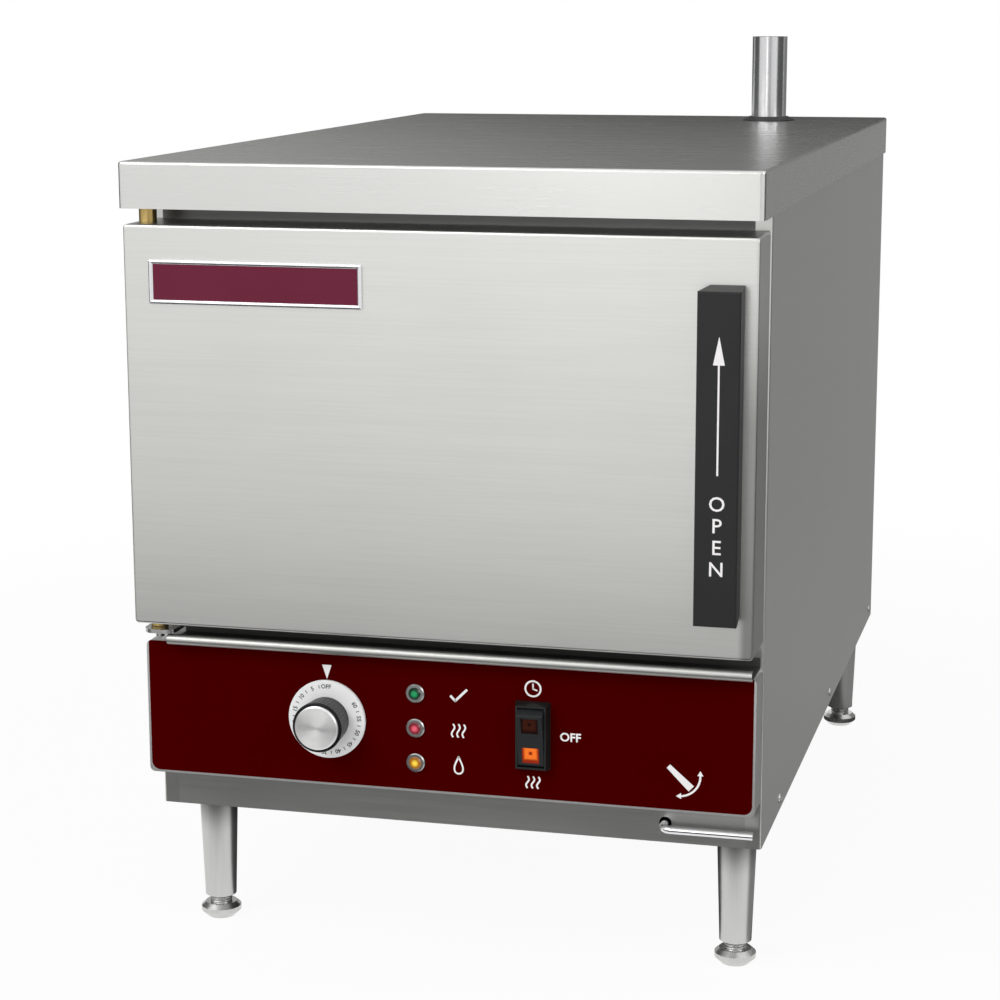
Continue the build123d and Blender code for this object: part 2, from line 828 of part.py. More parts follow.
# Drain cock: a block with a turning plug, closed while the plug's bore stands upright
valve_left = drain_x - valve_length / 2
valve_right = drain_x + valve_length / 2
plug_front = valve_y - plug_length / 2
with BuildPart() as drain_valve_body:
    with BuildSketch(facing(valve_y - valve_width / 2)):
        with Locations((drain_x, lever_z)):
            Rectangle(valve_length, valve_height)
    extrude(amount=-valve_width)
    chamfer(drain_valve_body.edges().filter_by(Axis.X), frame_sheet)
    with BuildSketch(facing(plug_front - fit_gap)):
        with Locations((drain_x, lever_z)):
            Circle(plug_radius + fit_gap)
    extrude(amount=-plug_length - 2 * fit_gap, mode=Mode.SUBTRACT)
    with BuildSketch(facing(valve_y - valve_width / 2)):
        with Locations((drain_x, lever_z)):
            Circle(lever_radius + fit_gap)
    extrude(amount=-valve_width / 2, mode=Mode.SUBTRACT)
    with BuildSketch(Plane.YZ.offset(valve_left)):
        with Locations((valve_y, lever_z)):
            Circle(plug_bore_radius)
    extrude(amount=valve_length, mode=Mode.SUBTRACT)
drain_valve_body.part.label = "drain_valve_body"
export_step(drain_valve_body.part, "parts/drain_valve_body.step")

with BuildPart() as drain_plug:
    with BuildSketch(facing(plug_front)):
        with Locations((drain_x, lever_z)):
            Circle(plug_radius)
    extrude(amount=-plug_length)
    with BuildSketch(Plane.XY.offset(lever_z - plug_radius)):
        with Locations((drain_x, valve_y)):
            Circle(plug_bore_radius)
    extrude(amount=2 * plug_radius, mode=Mode.SUBTRACT)
drain_plug.part.label = "drain_plug"
export_step(drain_plug.part, "parts/drain_plug.step")

# Drain lever: one bent rod from the plug out through the skirt, its arm to the right
arm_y = front - lever_reach
with BuildPart() as drain_handle:
    with BuildLine(Plane.XY.offset(lever_z)) as lever_route:
        FilletPolyline(
            (drain_x, plug_front), (drain_x, arm_y), (drain_x + lever_arm, arm_y), radius=lever_bend
        )
    with BuildSketch(facing(plug_front)):
        with Locations((drain_x, lever_z)):
            Circle(lever_radius)
    sweep(path=lever_route.wires()[0])
drain_handle.part.label = "drain_handle"
export_step(drain_handle.part, "parts/drain_handle.step")

# Drain tubes: from the reservoir's floor down to the cock, and from the cock out at the back
with BuildPart() as drain_inlet_tube:
    with BuildLine(facing(valve_y)) as inlet_route:
        FilletPolyline(
            (inlet_x, cavity_floor), (inlet_x, lever_z), (valve_left, lever_z), radius=tube_bend
        )
    with BuildSketch(Plane.XY.offset(cavity_floor)):
        with Locations((inlet_x, valve_y)):
            Circle(tube_radius)
            Circle(tube_radius - tube_wall, mode=Mode.SUBTRACT)
    sweep(path=inlet_route.wires()[0])
drain_inlet_tube.part.label = "drain_inlet_tube"
export_step(drain_inlet_tube.part, "parts/drain_inlet_tube.step")

outlet_end = back + outlet_reach
with BuildPart() as drain_pipe:
    with BuildLine(Plane.XY.offset(lever_z)) as outlet_route:
        FilletPolyline(
            (valve_right, valve_y), (outlet_x, valve_y), (outlet_x, outlet_end), radius=tube_bend
        )
    with BuildSketch(Plane.YZ.offset(valve_right)):
        with Locations((valve_y, lever_z)):
            Circle(tube_radius)
    sweep(path=outlet_route.wires()[0])
    with BuildSketch(facing(back - outlet_inset)):
        with Locations((outlet_x, lever_z)):
            Circle(outlet_radius)
    extrude(amount=-outlet_inset - outlet_reach)
    with BuildSketch(facing(back_outer)):
        with Locations((outlet_x, lever_z)):
            RegularPolygon(outlet_nut_radius, 6)
    extrude(amount=-outlet_nut_height)
    with BuildSketch(Plane.YZ.offset(valve_right)):
        with Locations((valve_y, lever_z)):
            Circle(tube_radius - tube_wall)
    sweep(path=outlet_route.wires()[0], mode=Mode.SUBTRACT)
drain_pipe.part.label = "drain_pipe"
export_step(drain_pipe.part, "parts/drain_pipe.step")

# Control panel: a folded box, and the printed sheet stuck on its front
timer_z = skirt_top + timer_rise
lamp_z = skirt_top + lamp_rise
switch_z = skirt_top + switch_rise
controls_half = half_width - controls_side_gap
switch_body_width = switch_width - 2 * switch_body_inset
switch_body_height = switch_height - 2 * switch_body_inset
controls_middle = (skirt_top + controls_top) / 2
lamp_places = [(lamp_x, lamp_z + step * lamp_pitch) for step in (1, 0, -1)]
with BuildPart() as control_panel:
    with BuildSketch(facing(front)):
        with Locations((0, controls_middle)):
            RectangleRounded(2 * controls_half, controls_height, controls_corner)
    extrude(amount=controls_depth)
    offset(amount=-panel_sheet, openings=control_panel.faces().sort_by(Axis.Y)[-1])
    with BuildSketch(facing(controls_front)):
        with Locations((timer_x, timer_z)):
            Circle(timer_bush_radius + fit_gap)
        with Locations(*lamp_places):
            Circle(bezel_barrel_radius + fit_gap)
        with Locations((switch_x, switch_z)):
            Rectangle(switch_body_width + 2 * fit_gap, switch_body_height + 2 * fit_gap)
    extrude(amount=-panel_sheet, mode=Mode.SUBTRACT)
control_panel.part.label = "control_panel"
export_step(control_panel.part, "parts/control_panel.step")

with BuildPart() as panel_overlay:
    with BuildSketch(facing(controls_front)):
        with Locations((0, controls_middle)):
            RectangleRounded(2 * controls_half, controls_height, controls_corner)
        with Locations((timer_x, timer_z)):
            Circle(timer_bush_radius + fit_gap, mode=Mode.SUBTRACT)
        with Locations(*lamp_places):
            Circle(bezel_barrel_radius + fit_gap, mode=Mode.SUBTRACT)
        with Locations((switch_x, switch_z)):
            Rectangle(
                switch_body_width + 2 * fit_gap,
                switch_body_height + 2 * fit_gap,
                mode=Mode.SUBTRACT,
            )
    extrude(amount=overlay_sheet)
panel_overlay.part.label = "panel_overlay"
export_step(panel_overlay.part, "parts/panel_overlay.step")

# Timer: its case behind the panel, the shaft, the numbered dial, the knob and its cap
controls_inner = controls_front + panel_sheet
dial_back = overlay_front - running_gap
dial_front = dial_back - dial_sheet
knob_front = dial_front - knob_depth
with BuildPart() as timer_body:
    with BuildSketch(facing(controls_inner)):
        with Locations((timer_x, timer_z)):
            RectangleRounded(timer_body_size, timer_body_size, bend_radius)
    extrude(amount=-timer_body_depth)
    with BuildSketch(facing(controls_inner)):
        with Locations((timer_x, timer_z)):
            Circle(timer_bush_radius)
    extrude(amount=controls_inner - overlay_front)
    with BuildSketch(facing(overlay_front)):
        with Locations((timer_x, timer_z)):
            Circle(timer_shaft_radius + fit_gap)
    extrude(amount=overlay_front - controls_inner - timer_body_depth / 2, mode=Mode.SUBTRACT)
timer_body.part.label = "timer_body"
export_step(timer_body.part, "parts/timer_body.step")

shaft_front = dial_front - knob_bore_depth
with BuildPart() as timer_shaft:
    with BuildSketch(facing(shaft_front)):
        with Locations((timer_x, timer_z)):
            Circle(timer_shaft_radius)
    extrude(amount=shaft_front - controls_inner - timer_body_depth / 2 + running_gap)
timer_shaft.part.label = "timer_shaft"
export_step(timer_shaft.part, "parts/timer_shaft.step")

with BuildPart() as timer_dial:
    with BuildSketch(facing(dial_back)):
        with Locations((timer_x, timer_z)):
            Circle(dial_radius)
    extrude(amount=dial_sheet)
    chamfer(timer_dial.faces().sort_by(Axis.Y)[0].edges(), dial_edge)
    with BuildSketch(facing(dial_back)):
        with Locations((timer_x, timer_z)):
            Circle(timer_shaft_radius + press_gap)
    extrude(amount=dial_sheet, mode=Mode.SUBTRACT)
timer_dial.part.label = "timer_dial"
export_step(timer_dial.part, "parts/timer_dial.step")

with BuildPart() as timer_knob:
    with BuildSketch(facing(dial_front)):
        with Locations((timer_x, timer_z)):
            Circle(knob_base_radius)
    with BuildSketch(facing(knob_front)):
        with Locations((timer_x, timer_z)):
            Circle(knob_radius)
    loft()
    chamfer(timer_knob.faces().sort_by(Axis.Y)[0].edges(), knob_edge)
    with BuildSketch(facing(dial_front)):
        with Locations((timer_x, timer_z)):
            Circle(timer_shaft_radius + press_gap)
    extrude(amount=knob_bore_depth, mode=Mode.SUBTRACT)
timer_knob.part.label = "timer_knob"
export_step(timer_knob.part, "parts/timer_knob.step")

with BuildPart() as knob_cap:
    with BuildSketch(facing(knob_front)):
        with Locations((timer_x, timer_z)):
            Circle(cap_radius)
    extrude(amount=cap_depth)
    chamfer(knob_cap.faces().sort_by(Axis.Y)[0].edges(), cap_edge)
knob_cap.part.label = "knob_cap"
export_step(knob_cap.part, "parts/knob_cap.step")

# Signal lamps: three chromed bezels through the panel, with a coloured lens in each
with BuildPart() as lamp_bezels:
    with BuildSketch(facing(overlay_front)):
        with Locations(*lamp_places):
            Circle(bezel_radius)
    extrude(amount=bezel_height)
    chamfer(lamp_bezels.faces().filter_by(Axis.Y).group_by(Axis.Y)[0].edges(), bezel_edge)
    with BuildSketch(facing(overlay_front)):
        with Locations(*lamp_places):
            Circle(bezel_barrel_radius)
    extrude(amount=-bezel_barrel_length)
    with BuildSketch(facing(overlay_front - bezel_height)):
        with Locations(*lamp_places):
            Circle(lens_radius + press_gap)
    extrude(amount=-lens_length, mode=Mode.SUBTRACT)
lamp_bezels.part.label = "lamp_bezels"
export_step(lamp_bezels.part, "parts/lamp_bezels.step")

lens_front = overlay_front - bezel_height - lens_proud
for place, word in zip(lamp_places, ("green", "red", "amber")):
    with BuildPart() as lens:
        with BuildSketch(facing(lens_front)):
            with Locations(place):
                Circle(lens_radius)
        extrude(amount=-lens_length - lens_proud)
        chamfer(lens.faces().sort_by(Axis.Y)[0].edges(), lens_proud)
    lens.part.label = f"{word}_lens"
    export_step(lens.part, f"parts/{word}_lens.step")

# Rocker switch: a bezel with its case, the tilting rocker and the two windows in it
switch_front = overlay_front - switch_proud
pocket_width = switch_width - 2 * switch_wall
pocket_height = switch_height - 2 * switch_wall
pivot_y = overlay_front
tilt = radians(rocker_tilt)
rocker_width = pocket_width - 2 * rocker_side_gap
rocker_radius = pocket_height / 2 - rocker_side_gap
with BuildPart() as switch_bezel:
    with BuildSketch(facing(overlay_front)):
        with Locations((switch_x, switch_z)):
            RectangleRounded(switch_width, switch_height, frame_sheet)
    extrude(amount=switch_proud, taper=switch_taper)
    with BuildSketch(facing(overlay_front)):
        with Locations((switch_x, switch_z)):
            Rectangle(switch_body_width, switch_body_height)
    extrude(amount=-switch_body_depth)
    with BuildSketch(facing(switch_front)):
        with Locations((switch_x, switch_z)):
            Rectangle(pocket_width, pocket_height)
    extrude(amount=-pocket_depth, mode=Mode.SUBTRACT)
    with BuildSketch(Plane.YZ.offset(switch_x)):
        with Locations((pivot_y, switch_z)):
            Circle(rocker_pin_radius + fit_gap)
    extrude(
        amount=rocker_width / 2 + rocker_pin_length + fit_gap, both=True, mode=Mode.SUBTRACT
    )
switch_bezel.part.label = "switch_bezel"
export_step(switch_bezel.part, "parts/switch_bezel.step")

rocker_up = (0, -sin(tilt), cos(tilt))
rocker_out = (0, -cos(tilt), -sin(tilt))
side_plane = Plane(
    origin=(switch_x - rocker_width / 2, pivot_y, switch_z), x_dir=rocker_up, z_dir=(1, 0, 0)
)
face_plane = Plane(origin=(switch_x, pivot_y, switch_z), x_dir=(1, 0, 0), z_dir=rocker_out)
end_rise = rocker_face_rise + rocker_face_fall
end_reach = (rocker_radius**2 - end_rise**2) ** 0.5
low_reach = (rocker_radius**2 - rocker_end_drop**2) ** 0.5
with BuildPart() as switch_rocker:
    with BuildSketch(side_plane):
        with BuildLine():
            Line((-end_reach, end_rise), (0, rocker_face_rise))
            Line((0, rocker_face_rise), (end_reach, end_rise))
            ThreePointArc((end_reach, end_rise), (rocker_radius, 0), (low_reach, -rocker_end_drop))
            Line((low_reach, -rocker_end_drop), (0, -rocker_belly))
            Line((0, -rocker_belly), (-low_reach, -rocker_end_drop))
            ThreePointArc((-low_reach, -rocker_end_drop), (-rocker_radius, 0), (-end_reach, end_rise))
        make_face()
    extrude(amount=rocker_width)
    with BuildSketch(Plane.YZ.offset(switch_x)):
        with Locations((pivot_y, switch_z)):
            Circle(rocker_pin_radius)
    extrude(amount=rocker_width / 2 + rocker_pin_length, both=True)
    with BuildSketch(face_plane.offset(rocker_face_rise - window_glass_depth)):
        with GridLocations(window_glass_width, 2 * window_glass_offset, 1, 2):
            Rectangle(window_glass_width, window_glass_height)
    extrude(amount=window_glass_depth + end_rise, mode=Mode.SUBTRACT)
switch_rocker.part.label = "switch_rocker"
export_step(switch_rocker.part, "parts/switch_rocker.step")

with BuildPart() as rocker_windows:
    with BuildSketch(face_plane.offset(rocker_face_rise - window_glass_depth)):
        with GridLocations(window_glass_width, 2 * window_glass_offset, 1, 2):
            Rectangle(window_glass_width - 2 * press_gap, window_glass_height - 2 * press_gap)
    extrude(amount=window_glass_depth)
rocker_windows.part.label = "rocker_windows"
export_step(rocker_windows.part, "parts/rocker_windows.step")

# Drip gutter: a folded trough on the control panel, with a rolled front lip
lip_radius = gutter_height / 2 - gutter_sheet / 2
trough_floor = controls_top + gutter_sheet / 2
lip_y = front - gutter_depth + gutter_height / 2
with BuildPart() as drip_gutter:
    with BuildSketch(Plane.YZ.offset(gutter_left)):
        with BuildLine():
            Line(
                (front - gutter_sheet / 2, gutter_top),
                (front - gutter_sheet / 2, trough_floor),
            )
            Line((front - gutter_sheet / 2, trough_floor), (lip_y, trough_floor))
            ThreePointArc(
                (lip_y, trough_floor),
                (lip_y - lip_radius, trough_floor + lip_radius),
                (lip_y, trough_floor + 2 * lip_radius),
            )
        trace(line_width=gutter_sheet)
    extrude(amount=gutter_right - gutter_left)
drip_gutter.part.label = "drip_gutter"
export_step(drip_gutter.part, "parts/drip_gutter.step")

# Door skin: a deep pan, with slots for the handle's studs and a tab over the latch spring
slot_heights = (handle_bottom + stud_inset, handle_bottom + handle_height - stud_inset)
slide_top = handle_bottom + handle_height - stud_inset + slide_overrun
tab_bottom = slide_top + spring_length
hinge_x = -half_width + hinge_inset
hinge_y = front - hinge_reach
skin_back = door_front + door_sheet
with BuildPart() as door_outer_skin:
    with BuildSketch(facing(door_back)):
        with Locations((0, door_middle)):
            Rectangle(2 * door_half, door_top - door_bottom)
    extrude(amount=door_back - door_front)
    fillet(door_outer_skin.edges().filter_by(Axis.Y), door_corner)
    fillet(door_outer_skin.faces().sort_by(Axis.Y)[0].edges(), bend_radius)
    offset(amount=-door_sheet, openings=door_outer_skin.faces().sort_by(Axis.Y)[-1])
    with BuildSketch(facing(door_front)):
        for slot_z in slot_heights:
            with Locations((latch_x, slot_z + handle_lift / 2)):
                SlotOverall(
                    handle_lift + 2 * (stud_radius + running_gap),
                    2 * (stud_radius + running_gap),
                    rotation=90,
                )
    extrude(amount=-door_sheet, mode=Mode.SUBTRACT)
    with BuildSketch(Plane.XY.offset(door_bottom)):
        with Locations((hinge_x, hinge_y)):
            Circle(spigot_radius + press_gap)
    extrude(amount=door_top - door_bottom, mode=Mode.SUBTRACT)
    block(
        (latch_x - slide_width / 2, latch_x + slide_width / 2),
        (skin_back, skin_back + running_gap + slide_sheet + spring_width),
        (tab_bottom, tab_bottom + door_sheet),
    )
door_outer_skin.part.label = "door_outer_skin"
export_step(door_outer_skin.part, "parts/door_outer_skin.step")

# Door inner panel: a shallow pan with a raised field that faces the cavity
inner_half = door_half - door_sheet
inner_low = door_bottom + door_sheet
inner_high = door_top - door_sheet
bulge_width = cavity_width - 2 * bulge_side_gap
bulge_height = opening_top - opening_bottom - 2 * bulge_side_gap
with BuildPart() as door_inner_panel:
    with BuildSketch(facing(door_back - inner_flange)):
        with Locations((0, door_middle)):
            RectangleRounded(2 * inner_half, inner_high - inner_low, door_corner - door_sheet)
    extrude(amount=-inner_flange)
    with BuildSketch(facing(door_back)):
        with Locations((0, door_middle)):
            Rectangle(bulge_width, bulge_height)
    extrude(amount=-bulge_depth, taper=bulge_taper)
    offset(amount=-door_sheet, openings=door_inner_panel.faces().sort_by(Axis.Y)[0])
    with BuildSketch(facing(door_back)):
        with Locations((hook_x, strike_top)):
            Rectangle(
                hook_width + 2 * running_gap,
                hook_top + handle_lift + hook_slot_side - strike_top,
                align=(Align.CENTER, Align.MIN),
            )
    extrude(amount=door_sheet, mode=Mode.SUBTRACT)
door_inner_panel.part.label = "door_inner_panel"
export_step(door_inner_panel.part, "parts/door_inner_panel.step")

# Door gasket: a soft ring round the raised field, which meets the frame
gasket_half = cavity_half + gasket_lap + gasket_width
gasket_rise = (opening_top - opening_bottom) / 2 + gasket_lap + gasket_width
with BuildPart() as door_gasket:
    with BuildSketch(facing(door_back)):
        with Locations((0, door_middle)):
            RectangleRounded(2 * gasket_half, 2 * gasket_rise, cavity_corner + gasket_width)
            RectangleRounded(
                2 * (gasket_half - gasket_width),
                2 * (gasket_rise - gasket_width),
                cavity_corner,
                mode=Mode.SUBTRACT,
            )
    extrude(amount=running_gap - door_back_gap)
    chamfer(door_gasket.faces().sort_by(Axis.Y)[-1].edges(), gasket_round)
door_gasket.part.label = "door_gasket"
export_step(door_gasket.part, "parts/door_gasket.step")

# Door filling: the insulation between the two door sheets
with BuildPart() as door_insulation:
    with BuildSketch(facing(door_back - door_sheet - running_gap)):
        with Locations((0, door_middle)):
            Rectangle(
                2 * (latch_x - slide_width / 2 - 2 * running_gap),
                door_top - door_bottom - 2 * door_fill_edge,
            )
    extrude(amount=door_back - 2 * door_sheet - 2 * running_gap - door_front)
door_insulation.part.label = "door_insulation"
export_step(door_insulation.part, "parts/door_insulation.step")

# Brass hinge bushes: a collar outside the door and a spigot in it, bored for the pin
with BuildPart() as hinge_bushes:
    for seat, way, collar in (
        (door_top, 1, upper_bush_height),
        (door_bottom, -1, lower_bush_height),
    ):
        with BuildSketch(Plane.XY.offset(seat)):
            with Locations((hinge_x, hinge_y)):
                Circle(bush_radius)
                Circle(pin_radius + fit_gap, mode=Mode.SUBTRACT)
        extrude(amount=way * collar)
        with BuildSketch(Plane.XY.offset(seat)):
            with Locations((hinge_x, hinge_y)):
                Circle(spigot_radius)
                Circle(pin_radius + fit_gap, mode=Mode.SUBTRACT)
        extrude(amount=-way * spigot_length)
hinge_bushes.part.label = "hinge_bushes"
export_step(hinge_bushes.part, "parts/hinge_bushes.step")

# Upper hinge bracket: an angle under the cover with the pin pointing down
with BuildPart() as upper_hinge_bracket:
    with BuildSketch(Plane.XY.offset(cover_bottom)):
        with Locations((hinge_x, hinge_y)):
            Circle(bush_radius)
        with Locations((hinge_x, (hinge_y + front) / 2)):
            Rectangle(2 * bush_radius, front - hinge_y)
    extrude(amount=upper_bracket_sheet)
    block(
        (hinge_x - bush_radius, hinge_x + bush_radius),
        (front - upper_bracket_sheet, front),
        (cover_bottom, cover_bottom + upper_bracket_flange),
    )
    with BuildSketch(Plane.XY.offset(cover_bottom)):
        with Locations((hinge_x, hinge_y)):
            Circle(pin_radius)
    extrude(amount=-running_gap - upper_bush_height - spigot_length)
upper_hinge_bracket.part.label = "upper_hinge_bracket"
export_step(upper_hinge_bracket.part, "parts/upper_hinge_bracket.step")

# Lower hinge bracket: a plate welded to the frame, with the pin up into the door
with BuildPart() as lower_hinge_bracket:
    with BuildSketch(Plane.XY.offset(lower_bracket_bottom)):
        with Locations((-half_width + bracket_side_gap, front)):
            Rectangle(bracket_width, lower_bracket_reach, align=(Align.MIN, Align.MAX))
    extrude(amount=lower_bracket_sheet)
    front_corners = lower_hinge_bracket.edges().filter_by(Axis.Z).group_by(Axis.Y)[0]
    fillet(front_corners, lower_bracket_round)
    with BuildSketch(Plane.XY.offset(lower_bracket_top)):
        with Locations((hinge_x, hinge_y)):
            Circle(pin_radius)
    extrude(amount=running_gap + lower_bush_height + spigot_length)
    with BuildSketch(Plane.XY.offset(lower_bracket_bottom)):
        with Locations((hinge_x, hinge_y)):
            Circle(pin_tail_radius)
    extrude(amount=-pin_tail_length)
lower_hinge_bracket.part.label = "lower_hinge_bracket"
export_step(lower_hinge_bracket.part, "parts/lower_hinge_bracket.step")

# Nameplate: a framed plate on the door, its field left plain
plate_x = -half_width + plate_left_inset + plate_width / 2
plate_z = door_top - plate_top_inset - plate_height / 2
with BuildPart() as nameplate:
    with BuildSketch(facing(door_front)):
        with Locations((plate_x, plate_z)):
            RectangleRounded(plate_width, plate_height, plate_corner)
    extrude(amount=plate_sheet)
    with BuildSketch(facing(door_front - plate_sheet)):
        with Locations((plate_x, plate_z)):
            Rectangle(plate_width - 2 * plate_frame, plate_height - 2 * plate_frame)
    extrude(amount=-plate_recess, mode=Mode.SUBTRACT)
nameplate.part.label = "nameplate"
export_step(nameplate.part, "parts/nameplate.step")

# Door handle: a moulded grip, undercut on its left, that lifts to free the latch
handle_back = door_front - running_gap
handle_front = door_front - handle_reach
handle_left = latch_x - handle_width / 2
handle_right = latch_x + handle_width / 2
handle_top = handle_bottom + handle_height
with BuildPart() as door_handle:
    with BuildSketch(Plane.XY.offset(handle_bottom)):
        with BuildLine():
            Polyline(
                (handle_left, handle_front),
                (handle_right, handle_front),
                (handle_right, handle_back),
                (handle_left + handle_undercut, handle_back),
                close=True,
            )
        make_face()
    extrude(amount=handle_height)
    with BuildSketch(Plane.YZ.offset(handle_left)):
        with BuildLine():
            Polyline(
                (handle_front, handle_top - handle_top_slope),
                (handle_back, handle_top),
                (handle_front, handle_top),
                close=True,
            )
        make_face()
        with BuildLine():
            Polyline(
                (handle_front + handle_foot_flat, handle_bottom),
                (handle_back, handle_bottom),
                (handle_back, handle_bottom + handle_foot_slope),
                close=True,
            )
        make_face()
    extrude(amount=handle_width, mode=Mode.SUBTRACT)
    chamfer(door_handle.faces().sort_by(Axis.Y)[0].edges(), handle_edge)
    with BuildSketch(facing(handle_back)):
        for slot_z in slot_heights:
            with Locations((latch_x, slot_z)):
                Circle(stud_radius + press_gap)
    extrude(amount=stud_grip, mode=Mode.SUBTRACT)
door_handle.part.label = "door_handle"
export_step(door_handle.part, "parts/door_handle.step")

# Latch slide: a bar behind the door skin, with two studs to the handle and the hook
slide_front = skin_back + running_gap
slide_back = slide_front + slide_sheet
slide_bottom = slot_heights[0] - slide_overrun
hook_end = front + hook_reach
with BuildPart() as latch_slide:
    with BuildSketch(facing(slide_front)):
        with Locations((latch_x, (slide_bottom + slide_top) / 2)):
            Rectangle(slide_width, slide_top - slide_bottom)
    extrude(amount=-slide_sheet)
    with BuildSketch(facing(slide_front)):
        for slot_z in slot_heights:
            with Locations((latch_x, slot_z)):
                Circle(stud_radius)
    extrude(amount=slide_front - handle_back + stud_grip)
    with BuildSketch(Plane.YZ.offset(hook_x - hook_width / 2)):
        with BuildLine():
            Polyline(
                (slide_front, hook_bottom),
                (slide_front, hook_top),
                (hook_end, hook_top),
                (hook_end, hook_tip),
                (hook_end - hook_nose, hook_tip),
                (hook_end - hook_nose, hook_bottom),
                close=True,
            )
        make_face()
    extrude(amount=hook_width)
    block(
        (latch_x, hook_x + hook_width / 2),
        (slide_front, slide_back),
        (hook_bottom, hook_top),
    )
latch_slide.part.label = "latch_slide"
export_step(latch_slide.part, "parts/latch_slide.step")

# Latch spring: a folded strip between the slide and the tab on the door skin
fold_low = slide_top + running_gap + spring_sheet / 2
fold_rise = (tab_bottom - spring_sheet / 2 - fold_low) / (2 * spring_folds - 1)
spring_x = latch_x - spring_swing / 2
with BuildPart() as latch_spring:
    with BuildSketch(facing(slide_front)):
        with BuildLine():
            corners = [
                (spring_x + ((step + 1) % 2) * spring_swing, fold_low + step * fold_rise)
                for step in range(2 * spring_folds)
            ]
            Polyline((spring_x, corners[0][1]), *corners, (latch_x, corners[-1][1]))
        trace(line_width=spring_sheet)
    extrude(amount=-spring_width)
latch_spring.part.label = "latch_spring"
export_step(latch_spring.part, "parts/latch_spring.step")

# Latch strike: the lip behind the frame that the hook's nose reaches over
with BuildPart() as latch_strike:
    with BuildSketch(facing(liner_front)):
        with Locations((hook_x, strike_top - strike_height / 2)):
            Rectangle(strike_width, strike_height)
    extrude(amount=-strike_depth)
    fillet(latch_strike.edges().filter_by(Axis.X).group_by(Axis.Z)[-1].sort_by(Axis.Y)[-1], frame_sheet)
latch_strike.part.label = "latch_strike"
export_step(latch_strike.part, "parts/latch_strike.step")

# Supply inlet: a gland in the back panel, and the contactor on the base pan
with BuildPart() as supply_gland:
    with BuildSketch(facing(back_outer)):
        with Locations((gland_x, gland_z)):
            RegularPolygon(gland_radius, 6)
    extrude(amount=-gland_reach / 2)
    with BuildSketch(facing(back_outer - gland_thread_length)):
        with Locations((gland_x, gland_z)):
            Circle(gland_thread_radius)
    extrude(amount=-gland_thread_length - gland_reach)
    with BuildSketch(facing(back_outer - gland_thread_length)):
        with Locations((gland_x, gland_z)):
            Circle(gland_bore_radius)
    extrude(amount=-gland_thread_length - gland_reach, mode=Mode.SUBTRACT)
supply_gland.part.label = "supply_gland"
export_step(supply_gland.part, "parts/supply_gland.step")

with BuildPart() as contactor:
    with BuildSketch(Plane.XY.offset(case_bottom + frame_sheet)):
        with Locations((gland_x, front + contactor_setback)):
            Rectangle(contactor_width, contactor_depth)
    extrude(amount=contactor_height)
    fillet(contactor.edges().filter_by(Axis.Z), bend_radius)
contactor.part.label = "contactor"
export_step(contactor.part, "parts/contactor.step")
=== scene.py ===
import math

import bmesh
import bpy
import numpy as np
from mathutils import Matrix, Vector


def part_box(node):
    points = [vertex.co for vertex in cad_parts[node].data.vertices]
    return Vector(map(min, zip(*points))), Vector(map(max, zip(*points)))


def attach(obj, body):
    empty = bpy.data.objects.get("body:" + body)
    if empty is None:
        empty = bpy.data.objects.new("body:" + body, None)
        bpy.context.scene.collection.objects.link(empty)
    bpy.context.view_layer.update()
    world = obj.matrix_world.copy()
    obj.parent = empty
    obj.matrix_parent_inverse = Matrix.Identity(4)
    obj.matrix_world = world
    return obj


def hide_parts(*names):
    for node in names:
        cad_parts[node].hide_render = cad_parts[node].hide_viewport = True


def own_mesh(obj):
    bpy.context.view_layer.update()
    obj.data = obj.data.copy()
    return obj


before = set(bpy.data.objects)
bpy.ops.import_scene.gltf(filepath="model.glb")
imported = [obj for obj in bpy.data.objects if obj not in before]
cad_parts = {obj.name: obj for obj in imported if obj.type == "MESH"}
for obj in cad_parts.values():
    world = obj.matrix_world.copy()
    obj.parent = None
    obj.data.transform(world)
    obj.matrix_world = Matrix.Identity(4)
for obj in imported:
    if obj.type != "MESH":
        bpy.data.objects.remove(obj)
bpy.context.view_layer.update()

# The camera stands to the right of the steamer and a little above it, as the photographer's
# did, with a long lens, so that the door, the right side and the roof all show.
camera_place = Vector((0.4750, -2.04645, 0.7052))
camera_azimuth = math.radians(14.47)
camera_elevation = math.radians(11.34)
camera_roll = math.radians(-0.12)
lens = bpy.data.cameras.new("camera")
lens.lens = 90.06
lens.sensor_width = 36.0
lens.sensor_fit = "HORIZONTAL"
camera = bpy.data.objects.new("camera", lens)
bpy.context.scene.collection.objects.link(camera)
forward = Vector(
    (
        -math.sin(camera_azimuth) * math.cos(camera_elevation),
        math.cos(camera_azimuth) * math.cos(camera_elevation),
        -math.sin(camera_elevation),
    )
)
turn = forward.to_track_quat("-Z", "Y").to_matrix().to_4x4()
camera.matrix_world = (
    Matrix.Translation(camera_place) @ turn @ Matrix.Rotation(camera_roll, 4, "Z")
)
bpy.context.scene.camera = camera
bpy.context.scene.view_settings.view_transform = "Standard"


